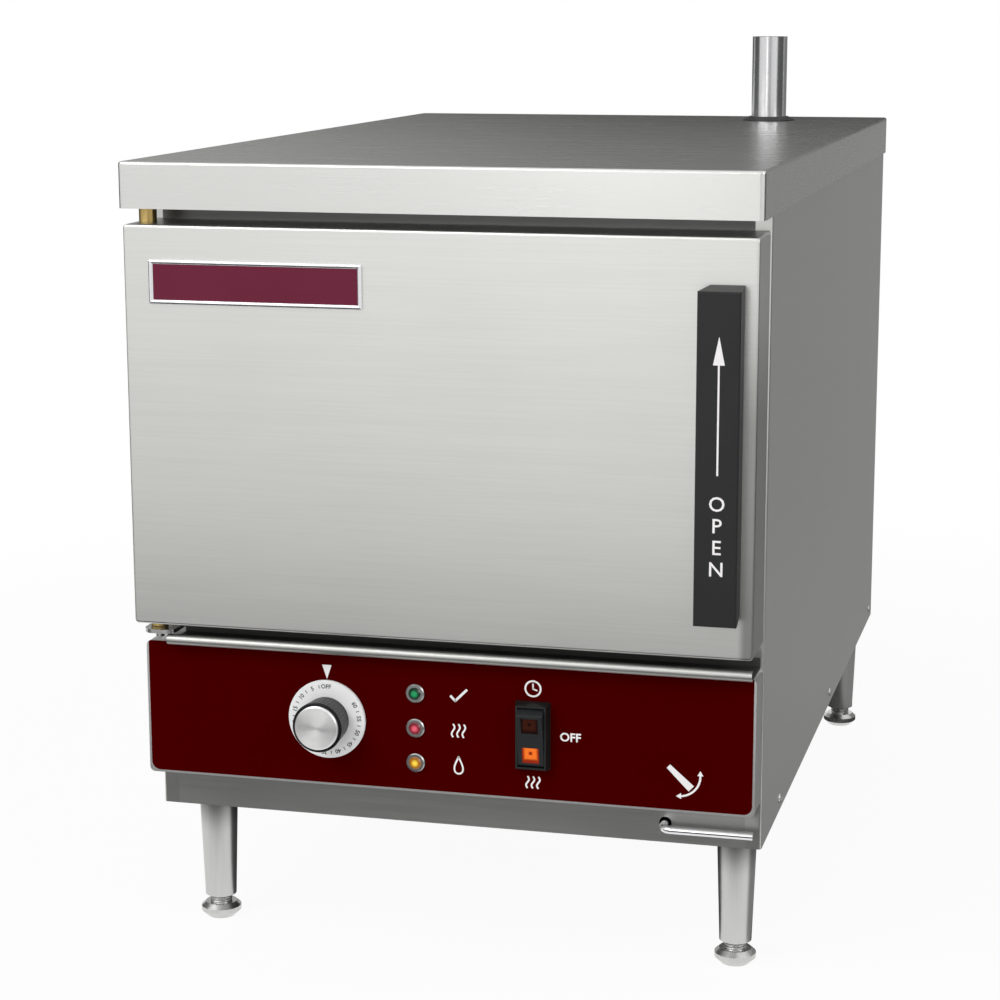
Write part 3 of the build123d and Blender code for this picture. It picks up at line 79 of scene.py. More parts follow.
# The studio is a white room: a pale floor that keeps the steamer's shadow and fades into the
# white of the backdrop. A large soft lamp stands to the left, a smaller one to the right and
# one in front of the door, and grey cards round the steamer grade what its steel mirrors.
class Wire:
    """A shader socket with the sums written out: each operator adds the Math node that does it."""

    def __init__(self, socket):
        self.socket = socket
        self.tree = socket.id_data

    def node(self, kind, sockets, out=0, **settings):
        """Any other node: its settings first, then the values or wires of its sockets."""
        made = self.tree.nodes.new(kind)
        for word, value in settings.items():
            setattr(made, word, value)
        for word, value in sockets.items():
            lay(value, made.inputs[word])
        return Wire(made.outputs[out])

    def sum(self, operation, *values):
        return self.node("ShaderNodeMath", dict(enumerate(values)), operation=operation)

    def __add__(self, other):
        return self.sum("ADD", self, other)

    def __radd__(self, other):
        return self.sum("ADD", other, self)

    def __sub__(self, other):
        return self.sum("SUBTRACT", self, other)

    def __rsub__(self, other):
        return self.sum("SUBTRACT", other, self)

    def __mul__(self, other):
        return self.sum("MULTIPLY", self, other)

    def __rmul__(self, other):
        return self.sum("MULTIPLY", other, self)

    def __truediv__(self, other):
        return self.sum("DIVIDE", self, other)

    def __rtruediv__(self, other):
        return self.sum("DIVIDE", other, self)

    def __pow__(self, other):
        return self.sum("POWER", self, other)

    def __gt__(self, other):
        return self.sum("GREATER_THAN", self, other)

    def __lt__(self, other):
        return self.sum("LESS_THAN", self, other)

    def __abs__(self):
        return self.sum("ABSOLUTE", self)

    def least(self, other):
        return self.sum("MINIMUM", self, other)

    def most(self, other):
        return self.sum("MAXIMUM", self, other)

    def eased(self, low, high):
        """0 below low, 1 above high, and a smooth rise between them."""
        sockets = {"Value": self, "From Min": low, "From Max": high}
        return self.node("ShaderNodeMapRange", sockets, interpolation_type="SMOOTHSTEP")

    def tint(self, low, high):
        """The colour that goes from low to high as this wire goes from 0 to 1."""
        return self.node("ShaderNodeMix", {0: self, 6: low, 7: high}, out=2, data_type="RGBA")

    def part(self, letter):
        """The x, y or z of this wire's vector."""
        return self.node("ShaderNodeSeparateXYZ", {0: self}, out="XYZ".index(letter))

    def diagonal(self, other):
        """The diagonal of the rectangle whose sides are this wire and another."""
        return (self**2 + other**2) ** 0.5

    def wave(self, pitch):
        """The sine of this wire, which comes round again after each pitch."""
        return self.sum("SINE", self * (2 * math.pi / pitch))


def lay(value, socket):
    """Puts a value on a shader's socket, or leads a wire to it."""
    if isinstance(value, Wire):
        value.tree.links.new(value.socket, socket)
    else:
        socket.default_value = value


def feed(sockets, **values):
    """Lays values or wires on a shader's sockets, named with _ for the blanks in their names."""
    for word, value in values.items():
        lay(value, sockets[word.replace("_", " ")])


def new_finish(name):
    """An empty finish: the material, its shader's sockets and the wire of its place on the piece."""
    made = bpy.data.materials.new(name)
    made.use_nodes = True
    shader = made.node_tree.nodes["Principled BSDF"]
    place = Wire(shader.outputs[0]).node("ShaderNodeTexCoord", {}, "Object")
    return made, shader.inputs, place


def seen_straight(wire):
    """1 for rays that come from the camera, off a gloss or through a clear piece, else 0."""
    camera_ray = wire.node("ShaderNodeLightPath", {}, "Is Camera Ray")
    glossy_ray = wire.node("ShaderNodeLightPath", {}, "Is Glossy Ray")
    clear_ray = wire.node("ShaderNodeLightPath", {}, "Is Transmission Ray")
    return (camera_ray + glossy_ray + clear_ray).least(1.0)


room = bpy.data.worlds.new("room")
bpy.context.scene.world = room
room.use_nodes = True
room_light = (0.50, 0.50, 0.51, 1.0)
white = (1.0, 1.0, 1.0, 1.0)
backdrop = room.node_tree.nodes["Background"]
seen = seen_straight(Wire(backdrop.outputs[0]))
feed(backdrop.inputs, Color=seen.tint(room_light, white))


def lying(x0, x1, y0, y1, z):
    """The corners of a flat sheet that lies level."""
    return [(x0, y0, z), (x1, y0, z), (x1, y1, z), (x0, y1, z)]


floor_half = 14.0
floor_mesh = bpy.data.meshes.new("floor")
floor_mesh.from_pydata(lying(-floor_half, floor_half, -floor_half, floor_half, 0), [], [(0, 1, 2, 3)])
floor = bpy.data.objects.new("floor", floor_mesh)
bpy.context.scene.collection.objects.link(floor)

# Close to the steamer a little of the floor's own shade shows, and further off only the glow.
floor_paint, sockets, place = new_finish("floor_paint")
feed(sockets, Base_Color=(0.82, 0.82, 0.82, 1.0), Roughness=0.9, Specular_IOR_Level=0.0)
shade_end, glow_start, near_glow = 0.55, 1.6, 0.94
away = place.node("ShaderNodeVectorMath", {0: place}, out=1, operation="LENGTH")
fade = seen_straight(place) * (near_glow + (1 - near_glow) * away.eased(shade_end, glow_start))
matt = Wire(place.tree.nodes["Principled BSDF"].outputs[0])
glow = place.node("ShaderNodeEmission", {"Color": white})
blend = place.node("ShaderNodeMixShader", {0: fade, 1: matt, 2: glow})
feed(place.tree.nodes["Material Output"].inputs, Surface=blend)
floor_mesh.materials.append(floor_paint)


def soft_lamp(name, place, target, size, power):
    """A square soft box that faces its target."""
    light = bpy.data.lights.new(name, "AREA")
    light.size = size
    light.energy = power
    lamp = bpy.data.objects.new(name, light)
    aim = (Vector(target) - Vector(place)).to_track_quat("-Z", "Y").to_matrix().to_4x4()
    lamp.matrix_world = Matrix.Translation(place) @ aim
    bpy.context.scene.collection.objects.link(lamp)


soft_lamp("left_lamp", (-1.5, -2.4, 2.3), (0.0, 0.0, 0.35), 1.5, 42.0)
soft_lamp("right_lamp", (2.4, -1.2, 1.5), (0.1, 0.0, 0.30), 1.2, 12.0)
soft_lamp("front_lamp", (-0.05, -3.2, 0.92), (0.1, -0.39, 0.50), 0.9, 7.0)


def gloss_card(name, corners, letter, low, high, dark, light):
    """A card out of the camera's view, which only the metal's gloss picks up. Its grey rises
    from dark to light between two places along an axis."""
    mesh = bpy.data.meshes.new(name)
    mesh.from_pydata(corners, [], [(0, 1, 2, 3)])
    card = bpy.data.objects.new(name, mesh)
    bpy.context.scene.collection.objects.link(card)
    paper = bpy.data.materials.new(name)
    paper.use_nodes = True
    nodes = paper.node_tree.nodes
    place = Wire(nodes["Principled BSDF"].outputs[0]).node("ShaderNodeTexCoord", {}, "Object")
    grey = place.part(letter).eased(low, high).tint((dark, dark, dark, 1.0), (light, light, light, 1.0))
    feed(nodes["Material Output"].inputs, Surface=grey.node("ShaderNodeEmission", {"Color": grey}))
    mesh.materials.append(paper)
    card.visible_camera = False
    card.visible_diffuse = False
    card.visible_transmission = False
    card.visible_shadow = False


def upright(x0, x1, y0, y1, z0, z1):
    """The corners of an upright card between two points of the floor."""
    return [(x0, y0, z0), (x1, y1, z0), (x1, y1, z1), (x0, y0, z1)]


# The roof mirrors the two cards behind it, the right side the cards behind and beside it, and
# the door the card on the floor and the small upright one in front of it.
card_y, card_x, card_z = 1.15, 1.5, 0.004
gloss_card("low_roof_card", upright(-1.6, 0.4, card_y, card_y, 0.56, 0.80), "X", -0.10, -1.0, 0.0, 0.21)
gloss_card("high_roof_card", upright(-1.6, 0.4, card_y, card_y, 0.80, 2.0), "X", 0.25, -1.0, 0.20, 0.40)
gloss_card("side_card", upright(0.26, 1.7, card_y, card_y, 0.0, 1.3), "Z", 0.0, 1.0, 0.285, 0.285)
gloss_card("right_floor_card", lying(0.24, 1.7, -0.3, card_y, card_z), "Y", -0.3, 0.6, 0.27, 0.30)
gloss_card("front_floor_card", lying(-3.0, 2.6, -7.0, -0.50, card_z), "Y", -1.75, -0.9, 0.92, 0.04)
gloss_card("under_card", lying(-0.24, 0.24, -0.28, 0.41, card_z), "Y", -0.3, 0.4, 0.05, 0.05)
gloss_card("camera_card", upright(-0.15, 1.10, -2.35, -2.35, 0.55, 0.95), "Z", 0.0, 1.0, 0.34, 0.34)
gloss_card("left_card", upright(-card_x, -card_x, -0.5, 0.9, 0.0, 1.3), "Z", 0.0, 1.0, 0.12, 0.12)
gloss_card("right_card", upright(card_x, card_x, -0.5, 0.9, 0.0, 1.3), "Z", 0.0, 1.0, 0.12, 0.12)


# The base: four turned steel legs with a screwed foot in each, under a folded pan whose front
# turns up as the skirt. All of it is satin stainless steel, brushed along the sheet.
def noise(place, size, detail, stretch=(1.0, 1.0, 1.0)):
    """Cloudy noise from 0 to 1 whose blots are about size across, in metres."""
    scale = tuple(step / size for step in stretch)
    laid = place.node("ShaderNodeMapping", {"Vector": place, "Scale": scale})
    return laid.node("ShaderNodeTexNoise", {"Vector": laid, "Scale": 1.0, "Detail": detail})


def relief(height, depth):
    """A bump whose full height is depth, in metres."""
    return height.node("ShaderNodeBump", {"Height": height, "Distance": depth, "Strength": 1.0})


def shade(tone, share):
    """A colour made lighter or darker by a share of itself."""
    return tuple(min(1.0, channel * share) for channel in tone) + (1.0,)


def brushed(name, tone, along, satin=0.30, cloud=0.06, depth=0.000012, painted_shade_mask=None):
    """Brushed sheet: hair lines along one axis, over broad faint clouds of tone and gloss.
    Where the shade mask gives 1 at a place, the sheet's colour is painted nearly black, as painted shade."""
    made, sockets, place = new_finish(name)
    hair, streak = (
        noise(place, size, detail, tuple(pull if letter == along else 1.0 for letter in "XYZ"))
        for size, detail, pull in ((0.0016, 3.0, 0.012), (0.012, 2.0, 0.08))
    )
    clouds = noise(place, 0.11, 2.0)
    wear = 0.5 * hair + 0.25 * streak + 0.25 * clouds
    colour = wear.eased(0.2, 0.8).tint(shade(tone, 1 - cloud), shade(tone, 1 + cloud))
    feed(
        sockets,
        Base_Color=painted_shade_mask(place).tint(colour, shade(tone, 0.10)) if painted_shade_mask else colour,
        Metallic=1.0,
        Roughness=satin + cloud * (1.3 * (hair - 0.5) + 0.5 * (clouds - 0.5)),
        Normal=relief(hair, depth),
    )
    return made


def dress(finish, *nodes):
    """Gives a finish to pieces of the frame."""
    for node in nodes:
        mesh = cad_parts[node].data
        mesh.materials.clear()
        mesh.materials.append(finish)


def rising_painted_shade(low, high, share):
    """For brushed: painted shade that grows from nothing at one height to its share at another."""
    return lambda place: share * place.part("Z").eased(low, high)


corners = ("front_left", "front_right", "back_left", "back_right")
leg_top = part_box("front_left_leg")[1].z
# The turned legs' tops are painted darker: painted shade under the base pan.
leg_top_shade = rising_painted_shade(leg_top - 0.050, leg_top - 0.014, 0.86)
leg_steel = brushed("leg_steel", (0.60, 0.60, 0.59), "Z", satin=0.26)
turned_steel = brushed("turned_steel", (0.60, 0.60, 0.59), "Z", satin=0.32, painted_shade_mask=leg_top_shade)
dress(turned_steel, *(f"{corner}_leg" for corner in corners))

foot_steel, sockets, place = new_finish("foot_steel")
thread_pitch, thread_height, thread_foot = 0.0020, 0.0004, 0.0120
thread = place.part("Z").wave(thread_pitch) * (place.part("Z") > thread_foot)
scuff = noise(place, 0.004, 3.0)
feed(
    sockets,
    Base_Color=scuff.tint((0.50, 0.50, 0.49, 1.0), (0.70, 0.70, 0.69, 1.0)),
    Metallic=1.0,
    Roughness=0.22 + 0.12 * scuff,
    Normal=relief(thread, thread_height),
)
dress(foot_steel, *(f"{corner}_foot" for corner in corners))

# The pan's steel is a darker tone than the other sheet: painted shade for the dark floor that the skirt
# mirrors. The control panel's box shares it.
pan_steel_painted_dark = brushed("pan_steel_painted_dark", (0.52, 0.52, 0.51), "X", satin=0.34)
dress(pan_steel_painted_dark, "base_pan")


# The front frame: a folded sheet round the mouth of the cavity, which the door closes on.
# Above the door it is painted nearly black: painted shade in the gap under the cover. A gutter
# under the door catches what drips from it, with a bright lip and a trough painted dark as painted shade.
door_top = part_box("door_outer_skin")[1].z
door_gap_shade = rising_painted_shade(door_top - 0.010, door_top + 0.004, 0.9)
frame_steel = brushed("frame_steel", (0.56, 0.56, 0.55), "X", satin=0.34, painted_shade_mask=door_gap_shade)
dress(frame_steel, "front_frame")

gutter_front, lip_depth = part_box("drip_gutter")[0].y, 0.004
gutter_steel, sockets, place = new_finish("gutter_steel")
# The trough behind the lip is painted nearly black: painted shade under the door's lower edge.
trough_shade = (place.part("Y") - gutter_front).eased(0.3 * lip_depth, 2.2 * lip_depth)
stains, grain = noise(place, 0.008, 3.0), noise(place, 0.0008, 2.0, (0.02, 1.0, 1.0))
feed(
    sockets,
    Base_Color=trough_shade.tint((0.50, 0.50, 0.48, 1.0), (0.10, 0.10, 0.095, 1.0)),
    Metallic=1.0 - 0.3 * trough_shade,
    Roughness=0.42 + 0.10 * trough_shade + 0.12 * stains * grain,
)
dress(gutter_steel, "drip_gutter")


# The shell: two folded side panels, the louvred back panel between them, and the cover, a
# deep-drawn lid with a lip all round. The screws that hold the sides to the base pan and the
# back panel to the returns are plain steel pan heads with a cross recess.
side_steel = brushed("side_steel", (0.62, 0.62, 0.60), "Y", satin=0.30, cloud=0.03)
back_steel = brushed("back_steel", (0.60, 0.60, 0.59), "X", satin=0.36)
cover_steel = brushed("cover_steel", (0.66, 0.66, 0.64), "X", satin=0.27, cloud=0.018, depth=0.000003)
dress(side_steel, "left_side_panel", "right_side_panel")
dress(back_steel, "back_panel")
dress(cover_steel, "top_cover")


def grid_faces(rows, columns, first=0):
    """The quads between neighbours of a grid of points numbered row by row."""
    number = np.arange(rows * columns).reshape(rows, columns) + first
    quads = [number[:-1, :-1], number[:-1, 1:], number[1:, 1:], number[1:, :-1]]
    return np.stack(quads, axis=-1).reshape(-1, 4)


def piece(name, grids, finish, body, solid=True, smooth=40.0):
    """A piece from grids of points, each an array of rows, columns and x, y, z. Points that
    fall together are merged. Edges sharper than smooth, in degrees, stay crisp."""
    points, faces, first = [], [], 0
    for grid in grids:
        rows, columns = grid.shape[:2]
        points.append(grid.reshape(-1, 3))
        faces.append(grid_faces(rows, columns, first))
        first += rows * columns
    mesh = bpy.data.meshes.new(name)
    mesh.from_pydata(np.concatenate(points).tolist(), [], np.concatenate(faces).tolist())
    shell = bmesh.new()
    shell.from_mesh(mesh)
    bmesh.ops.remove_doubles(shell, verts=shell.verts, dist=1e-6)
    bmesh.ops.dissolve_degenerate(shell, edges=shell.edges, dist=1e-7)
    if solid:
        bmesh.ops.recalc_face_normals(shell, faces=shell.faces)
    shell.to_mesh(mesh)
    shell.free()
    mesh.shade_smooth()
    mesh.set_sharp_from_angle(angle=math.radians(smooth))
    mesh.materials.append(finish)
    made = bpy.data.objects.new(name, mesh)
    bpy.context.scene.collection.objects.link(made)
    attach(made, body)
    return made


def screw_head(middle, out, up, radius, height, spin):
    """A pan head: its height over the radius r is height times the root of 1 - (r / radius)^3,
    less the depth of a cross wherever the point lies within half the cross's width of one of
    its two arms. The head is closed underneath."""
    arm, half_width = 0.52 * radius, 0.13 * radius
    share = np.array([0.0, 0.1, 0.2, 0.32, 0.45, 0.52, 0.60, 0.74, 0.86, 0.94, 0.98, 1.0])[:, None]
    angle = np.linspace(0.0, 2 * np.pi, 49)[None, :]
    across, along = radius * share * np.cos(angle), radius * share * np.sin(angle)
    rise = height * np.sqrt(np.clip(1.0 - share**3, 0.0, 1.0)) * np.ones_like(angle)
    near, far = np.minimum(abs(across), abs(along)), np.maximum(abs(across), abs(along))
    rise = rise - 0.45 * height * ((near < half_width) & (far < arm))
    out, up = np.array(out, float), np.array(up, float)
    side = np.cross(up, out)
    side, up = (
        math.cos(spin) * side + math.sin(spin) * up,
        math.cos(spin) * up - math.sin(spin) * side,
    )
    top = across[..., None] * side + along[..., None] * up + rise[..., None] * out
    foot = np.stack([top[-1], np.zeros_like(top[-1])])
    return [np.array(middle) + top, np.array(middle) + foot]


screw_radius, screw_height = 0.0038, 0.0020
side_low, side_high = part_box("right_side_panel")
screw_depths = side_low.y + np.array([0.091, 0.393, 0.703])
screw_rise, row_gap, return_half = side_low.z + 0.010, 0.040, 0.007
heads = []
for count, depth in enumerate(screw_depths):
    for way in (-1, 1):
        seat = (way * side_high.x, depth, screw_rise)
        heads += screw_head(seat, (way, 0, 0), (0, 0, 1), screw_radius, screw_height, 0.4 + count)
for count, rise in enumerate(np.linspace(side_low.z + row_gap, side_high.z - row_gap, 4)):
    for way in (-1, 1):
        seat = (way * (side_high.x - return_half), side_high.y, rise)
        heads += screw_head(seat, (0, 1, 0), (0, 0, 1), screw_radius, screw_height, 0.9 * count)

screw_steel, sockets, place = new_finish("screw_steel")
spots = noise(place, 0.0012, 3.0)
feed(
    sockets,
    Base_Color=spots.tint((0.46, 0.46, 0.45, 1.0), (0.66, 0.66, 0.65, 1.0)),
    Metallic=1.0,
    Roughness=0.24 + 0.14 * spots,
)
piece("case_screws", heads, screw_steel, "case", smooth=32.0)


# The cavity: a welded liner of bright rolled sheet, lagged with mineral wool, with a pan rack
# on each side, the fan and its baffle at the back, and a cast heater under the water.
liner_steel = brushed("liner_steel", (0.58, 0.58, 0.57), "Y", satin=0.24, cloud=0.14)
rack_steel = brushed("rack_steel", (0.60, 0.60, 0.59), "Y", satin=0.28)
fan_steel = brushed("fan_steel", (0.57, 0.57, 0.56), "X", satin=0.32)
dress(liner_steel, "cavity_liner", "fan_baffle")
dress(rack_steel, "left_pan_rack", "right_pan_rack")
dress(fan_steel, "fan_wheel", "fan_shaft", "latch_slide", "latch_strike", "latch_spring")

wool, sockets, place = new_finish("mineral_wool")
strands = noise(place, 0.0020, 4.0, (0.3, 1.0, 1.0))
tufts = noise(place, 0.020, 3.0)
feed(
    sockets,
    Base_Color=tufts.tint((0.62, 0.55, 0.34, 1.0), (0.78, 0.72, 0.52, 1.0)),
    Roughness=0.85 + 0.10 * strands,
    Normal=relief(0.4 * strands + 0.6 * tufts, 0.0015),
)
dress(wool, "cavity_insulation", "door_insulation")

# The motor is sprayed: a faint orange peel under a gloss that varies a little.
motor_paint, sockets, place = new_finish("motor_paint")
motor_grey = (0.05, 0.05, 0.055)
peel, clouds = noise(place, 0.0012, 2.0), noise(place, 0.030, 2.0)
feed(
    sockets,
    Base_Color=clouds.tint(shade(motor_grey, 0.92), shade(motor_grey, 1.08)),
    Roughness=0.25 + 0.10 * clouds,
    Normal=relief(peel, 0.00003),
)
dress(motor_paint, "fan_motor")

cast, sockets, place = new_finish("heater_cast")
pits, flow = noise(place, 0.0009, 4.0), noise(place, 0.025, 2.0)
feed(
    sockets,
    Base_Color=flow.tint((0.42, 0.42, 0.41, 1.0), (0.56, 0.56, 0.55, 1.0)),
    Metallic=0.9,
    Roughness=0.48 + 0.2 * pits,
    Normal=relief(pits, 0.0002),
)
dress(cast, "reservoir_heater")


# The roof vent: a bright drawn pipe that takes the steam from the back of the cavity up through
# the cover. A moulded black collar closes the hole round it.
def plated(name, tone, satin=0.10):
    """Bright plating: nearly a mirror, with faint draw lines and the haze of handling."""
    made, sockets, place = new_finish(name)
    haze, lines = noise(place, 0.030, 3.0), noise(place, 0.0015, 2.0, (1.0, 1.0, 0.02))
    feed(
        sockets,
        Base_Color=haze.tint(shade(tone, 0.96), shade(tone, 1.04)),
        Metallic=1.0,
        Roughness=satin + 0.08 * haze,
        Normal=relief(lines, 0.000004),
    )
    return made


def moulded(name, tone, satin=0.42, grain=0.00003, gloss=0.5):
    """Moulded plastic: an even colour with the tool's fine spark grain."""
    made, sockets, place = new_finish(name)
    spark, clouds = noise(place, 0.0006, 2.0), noise(place, 0.040, 2.0)
    feed(
        sockets,
        Base_Color=clouds.tint(shade(tone, 0.85), shade(tone, 1.15)),
        Specular_IOR_Level=gloss,
        Roughness=satin + 0.12 * (spark - 0.5) + 0.06 * (clouds - 0.5),
        Normal=relief(spark, grain),
    )
    return made


pipe_chrome = plated("pipe_chrome", (0.60, 0.60, 0.61), satin=0.16)
rod_chrome = plated("rod_chrome", (0.80, 0.80, 0.81))
collar_black = moulded("collar_black", (0.014, 0.014, 0.015))
dress(pipe_chrome, "vent_pipe")
dress(collar_black, "vent_collar", "timer_body", "contactor", "supply_gland")


# The water side: brass probes and a brass drain cock, steel tubes, and the bent chromed rod
# that turns the cock's plug. The outlet's end has a pipe thread for the drain hose.
brass, sockets, place = new_finish("turned_brass")
tarnish, rings = noise(place, 0.010, 3.0), noise(place, 0.0008, 2.0, (1.0, 0.02, 1.0))
feed(
    sockets,
    Base_Color=tarnish.tint((0.36, 0.25, 0.09, 1.0), (0.62, 0.46, 0.18, 1.0)),
    Metallic=1.0,
    Roughness=0.26 + 0.16 * tarnish,
    Normal=relief(rings, 0.00002),
)
dress(brass, "cavity_probes", "drain_valve_body", "drain_plug", "hinge_bushes")
dress(rod_chrome, "drain_handle")

tube_steel, sockets, place = new_finish("tube_steel")
pipe_end, pipe_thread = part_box("drain_pipe")[1].y, 0.022
pipe_pitch, pipe_crest = 0.0018, 0.0005
crests = place.part("Y").wave(pipe_pitch) * (place.part("Y") > pipe_end - pipe_thread)
smear = noise(place, 0.006, 3.0)
feed(
    sockets,
    Base_Color=smear.tint((0.48, 0.48, 0.47, 1.0), (0.62, 0.62, 0.61, 1.0)),
    Metallic=1.0,
    Roughness=0.28 + 0.12 * smear,
    Normal=relief(crests, pipe_crest),
)
dress(tube_steel, "drain_pipe", "drain_inlet_tube")


# The control panel: a folded steel box whose front carries a dark red printed film. The film
# stops short of the fold, so a bright line of steel runs all round it. The marks are white.
dress(pan_steel_painted_dark, "control_panel")
film_low, film_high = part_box("panel_overlay")
film_middle, film_half = (film_low + film_high) / 2, (film_high - film_low) / 2
film_edge, film_corner, film_blur = 0.0016, 0.0065, 0.0002
panel_print, sockets, place = new_finish("panel_print")

# Only the lower corners are round: the film's outline runs up past the panel by one corner.
film_rise = film_corner
straight_x = film_half.x - film_edge - film_corner
straight_z = film_half.z + film_rise - film_edge - film_corner
across = abs(place.part("X") - film_middle.x) - straight_x
along = abs(place.part("Z") - film_middle.z - film_rise) - straight_z
over = across.most(0.0).diagonal(along.most(0.0))
outside = over.eased(film_corner - film_blur, film_corner + film_blur)
clouds, peel = noise(place, 0.12, 2.0), noise(place, 0.0020, 2.0)
film_red = clouds.tint((0.056, 0.0, 0.0, 1.0), (0.066, 0.0, 0.0, 1.0))
feed(
    sockets,
    Base_Color=outside.tint(film_red, (0.74, 0.73, 0.72, 1.0)),
    Metallic=0.9 * outside,
    Roughness=0.42 - 0.10 * outside + 0.05 * clouds,
    Normal=relief(peel, 0.00001),
    Specular_IOR_Level=0.0,
)
dress(panel_print, "panel_overlay")

white_ink, sockets, place = new_finish("white_ink")
speck = noise(place, 0.0008, 2.0)
feed(
    sockets,
    Base_Color=speck.tint((0.84, 0.82, 0.81, 1.0), (0.96, 0.94, 0.93, 1.0)),
    Roughness=0.5 + 0.1 * speck,
    Specular_IOR_Level=0.2,
)
ink_lift = 0.00004
ink_y = film_low.y - ink_lift


def stroke(points, width, y, ring=False):
    """A flat line of ink on an upright plane. Each point of the line, given as x and z, is
    set off to both sides by half the width, square to the line's direction there."""
    line = np.asarray(points, float)
    if ring:
        line = np.concatenate([line[-2:-1], line, line[1:2]])
    step = np.gradient(line, axis=0)
    step /= np.linalg.norm(step, axis=1, keepdims=True)
    aside = np.stack([-step[:, 1], step[:, 0]], axis=1) * np.reshape(width, (-1, 1)) / 2
    sides = np.stack([line + aside, line - aside], axis=1)
    sides = sides[1:-1] if ring else sides
    return np.stack([sides[..., 0], np.full(sides.shape[:2], y), sides[..., 1]], axis=-1)


def arc(x, z, radius, start, end, count=25):
    """Points round a middle, from one angle to another, in degrees anticlockwise from +X."""
    angle = np.radians(np.linspace(start, end, count))
    return np.stack([x + radius * np.cos(angle), z + radius * np.sin(angle)], axis=1)


def steam(x, z, height, y):
    """Three rising wisps: each line's x swings with the sine of its height."""
    gap, sway, width = 0.0040, 0.0011, 0.0013
    rise = np.linspace(-0.5, 0.5, 21)
    wisps = []
    for aside in (-gap, 0.0, gap):
        line = np.stack([x + aside + sway * np.sin(2 * np.pi * rise), z + height * rise], axis=1)
        wisps.append(stroke(line, width, y))
    return wisps


def mark_place(name):
    """The middle of a piece of the frame, seen from the front."""
    low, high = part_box(name)
    return (low.x + high.x) / 2, (low.z + high.z) / 2


label_x = film_middle.x + 0.0118
green_z, red_z, amber_z = (mark_place(f"{colour}_lens")[1] for colour in ("green", "red", "amber"))
switch_x, switch_z = mark_place("switch_bezel")
dial_x, dial_z = mark_place("timer_dial")

# Beside the lamps: a tick, steam and a drop, whose two sides meet in a point at the top.
tick_line, drop_line = 0.0018, 0.0013
marks = [
    stroke([(label_x - 0.0060, green_z), (label_x - 0.0020, green_z - 0.0040)], tick_line, ink_y),
    stroke([(label_x - 0.0026, green_z - 0.0040), (label_x + 0.0066, green_z + 0.0052)], tick_line, ink_y),
    *steam(label_x, red_z, 0.0100, ink_y),
]
drop_turn = np.linspace(0.0, 2 * np.pi, 41)
drop_x = label_x + 0.0046 * np.sin(drop_turn) * np.sin(drop_turn / 2) ** 1.5
drop_z = amber_z + 0.0002 + 0.0064 * np.cos(drop_turn)
marks.append(stroke(np.stack([drop_x, drop_z], axis=1), drop_line, ink_y, ring=True))

# Over and under the switch: a clock with its two hands, and steam.
clock_z, clock_radius = switch_z + 0.0345, 0.0056
clock_line, hand_line = 0.0014, 0.0012
marks += [
    stroke(arc(switch_x, clock_z, clock_radius, 0, 360, 49), clock_line, ink_y, ring=True),
    stroke([(switch_x, clock_z - 0.0006), (switch_x, clock_z + 0.0038)], hand_line, ink_y),
    stroke([(switch_x - 0.0004, clock_z), (switch_x + 0.0032, clock_z - 0.0012)], hand_line, ink_y),
    *steam(switch_x, switch_z - 0.0352, 0.0090, ink_y),
]

# Over the dial the pointer, and near the drain's rod a lever with an arrow both ways round it.
pointer = [(dial_x, dial_z + 0.0405), (dial_x, dial_z + 0.0303)]
marks.append(stroke(pointer, [0.0072, 0.0004], ink_y))
lever = [
    (film_high.x - 0.0618, film_low.z + 0.0335),
    (film_high.x - 0.0452, film_low.z + 0.0179),
]
marks.append(stroke(lever, [0.0036, 0.0056], ink_y))
swing = arc(film_high.x - 0.0540, film_low.z + 0.0272, 0.0152, 2, -84)
swing_line, head_length, head_width, sharp = 0.0015, 0.0036, 0.0044, 0.0002
marks.append(stroke(swing, swing_line, ink_y))
for tip, way in ((swing[0], (0.0, 1.0)), (swing[-1], (-1.0, -0.06))):
    head = [tip, tip + head_length * np.array(way)]
    marks.append(stroke(head, [head_width, sharp], ink_y))
piece("panel_marks", marks, white_ink, "case", solid=False)


def letters(words, size, bold):
    """Some words in the plain built-in face, filled and flat: their points and their faces."""
    face = bpy.data.curves.new("words", "FONT")
    face.body, face.size, face.offset = words, size, bold
    face.align_x, face.align_y, face.resolution_u = "CENTER", "CENTER", 3
    carrier = bpy.data.objects.new("words", face)
    mesh = bpy.data.meshes.new_from_object(carrier)
    flat = np.empty(3 * len(mesh.vertices))
    mesh.vertices.foreach_get("co", flat)
    faces = [tuple(polygon.vertices) for polygon in mesh.polygons]
    bpy.data.objects.remove(carrier)
    bpy.data.curves.remove(face)
    bpy.data.meshes.remove(mesh)
    return flat.reshape(-1, 3)[:, :2], faces


def inked(name, printed, y, finish, body):
    """A flat piece of printed words: each item is its points, its faces, its middle and its turn."""
    points, faces = [], []
    for outline, fills, (x, z), angle in printed:
        first = sum(len(group) for group in points)
        turned_x = outline[:, 0] * math.cos(angle) - outline[:, 1] * math.sin(angle)
        turned_z = outline[:, 0] * math.sin(angle) + outline[:, 1] * math.cos(angle)
        points.append(np.stack([x + turned_x, np.full(len(outline), y), z + turned_z], axis=1))
        faces += [tuple(first + corner for corner in fill) for fill in fills]
    mesh = bpy.data.meshes.new(name)
    mesh.from_pydata(np.concatenate(points).tolist(), [], faces)
    mesh.materials.append(finish)
    made = bpy.data.objects.new(name, mesh)
    bpy.context.scene.collection.objects.link(made)
    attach(made, body)


word_size, word_bold, word_gap = 0.0088, 0.00022, 0.0275
off_words = [(*letters("OFF", word_size, word_bold), (switch_x + word_gap, switch_z), 0.0)]
inked("switch_words", off_words, ink_y, white_ink, "case")


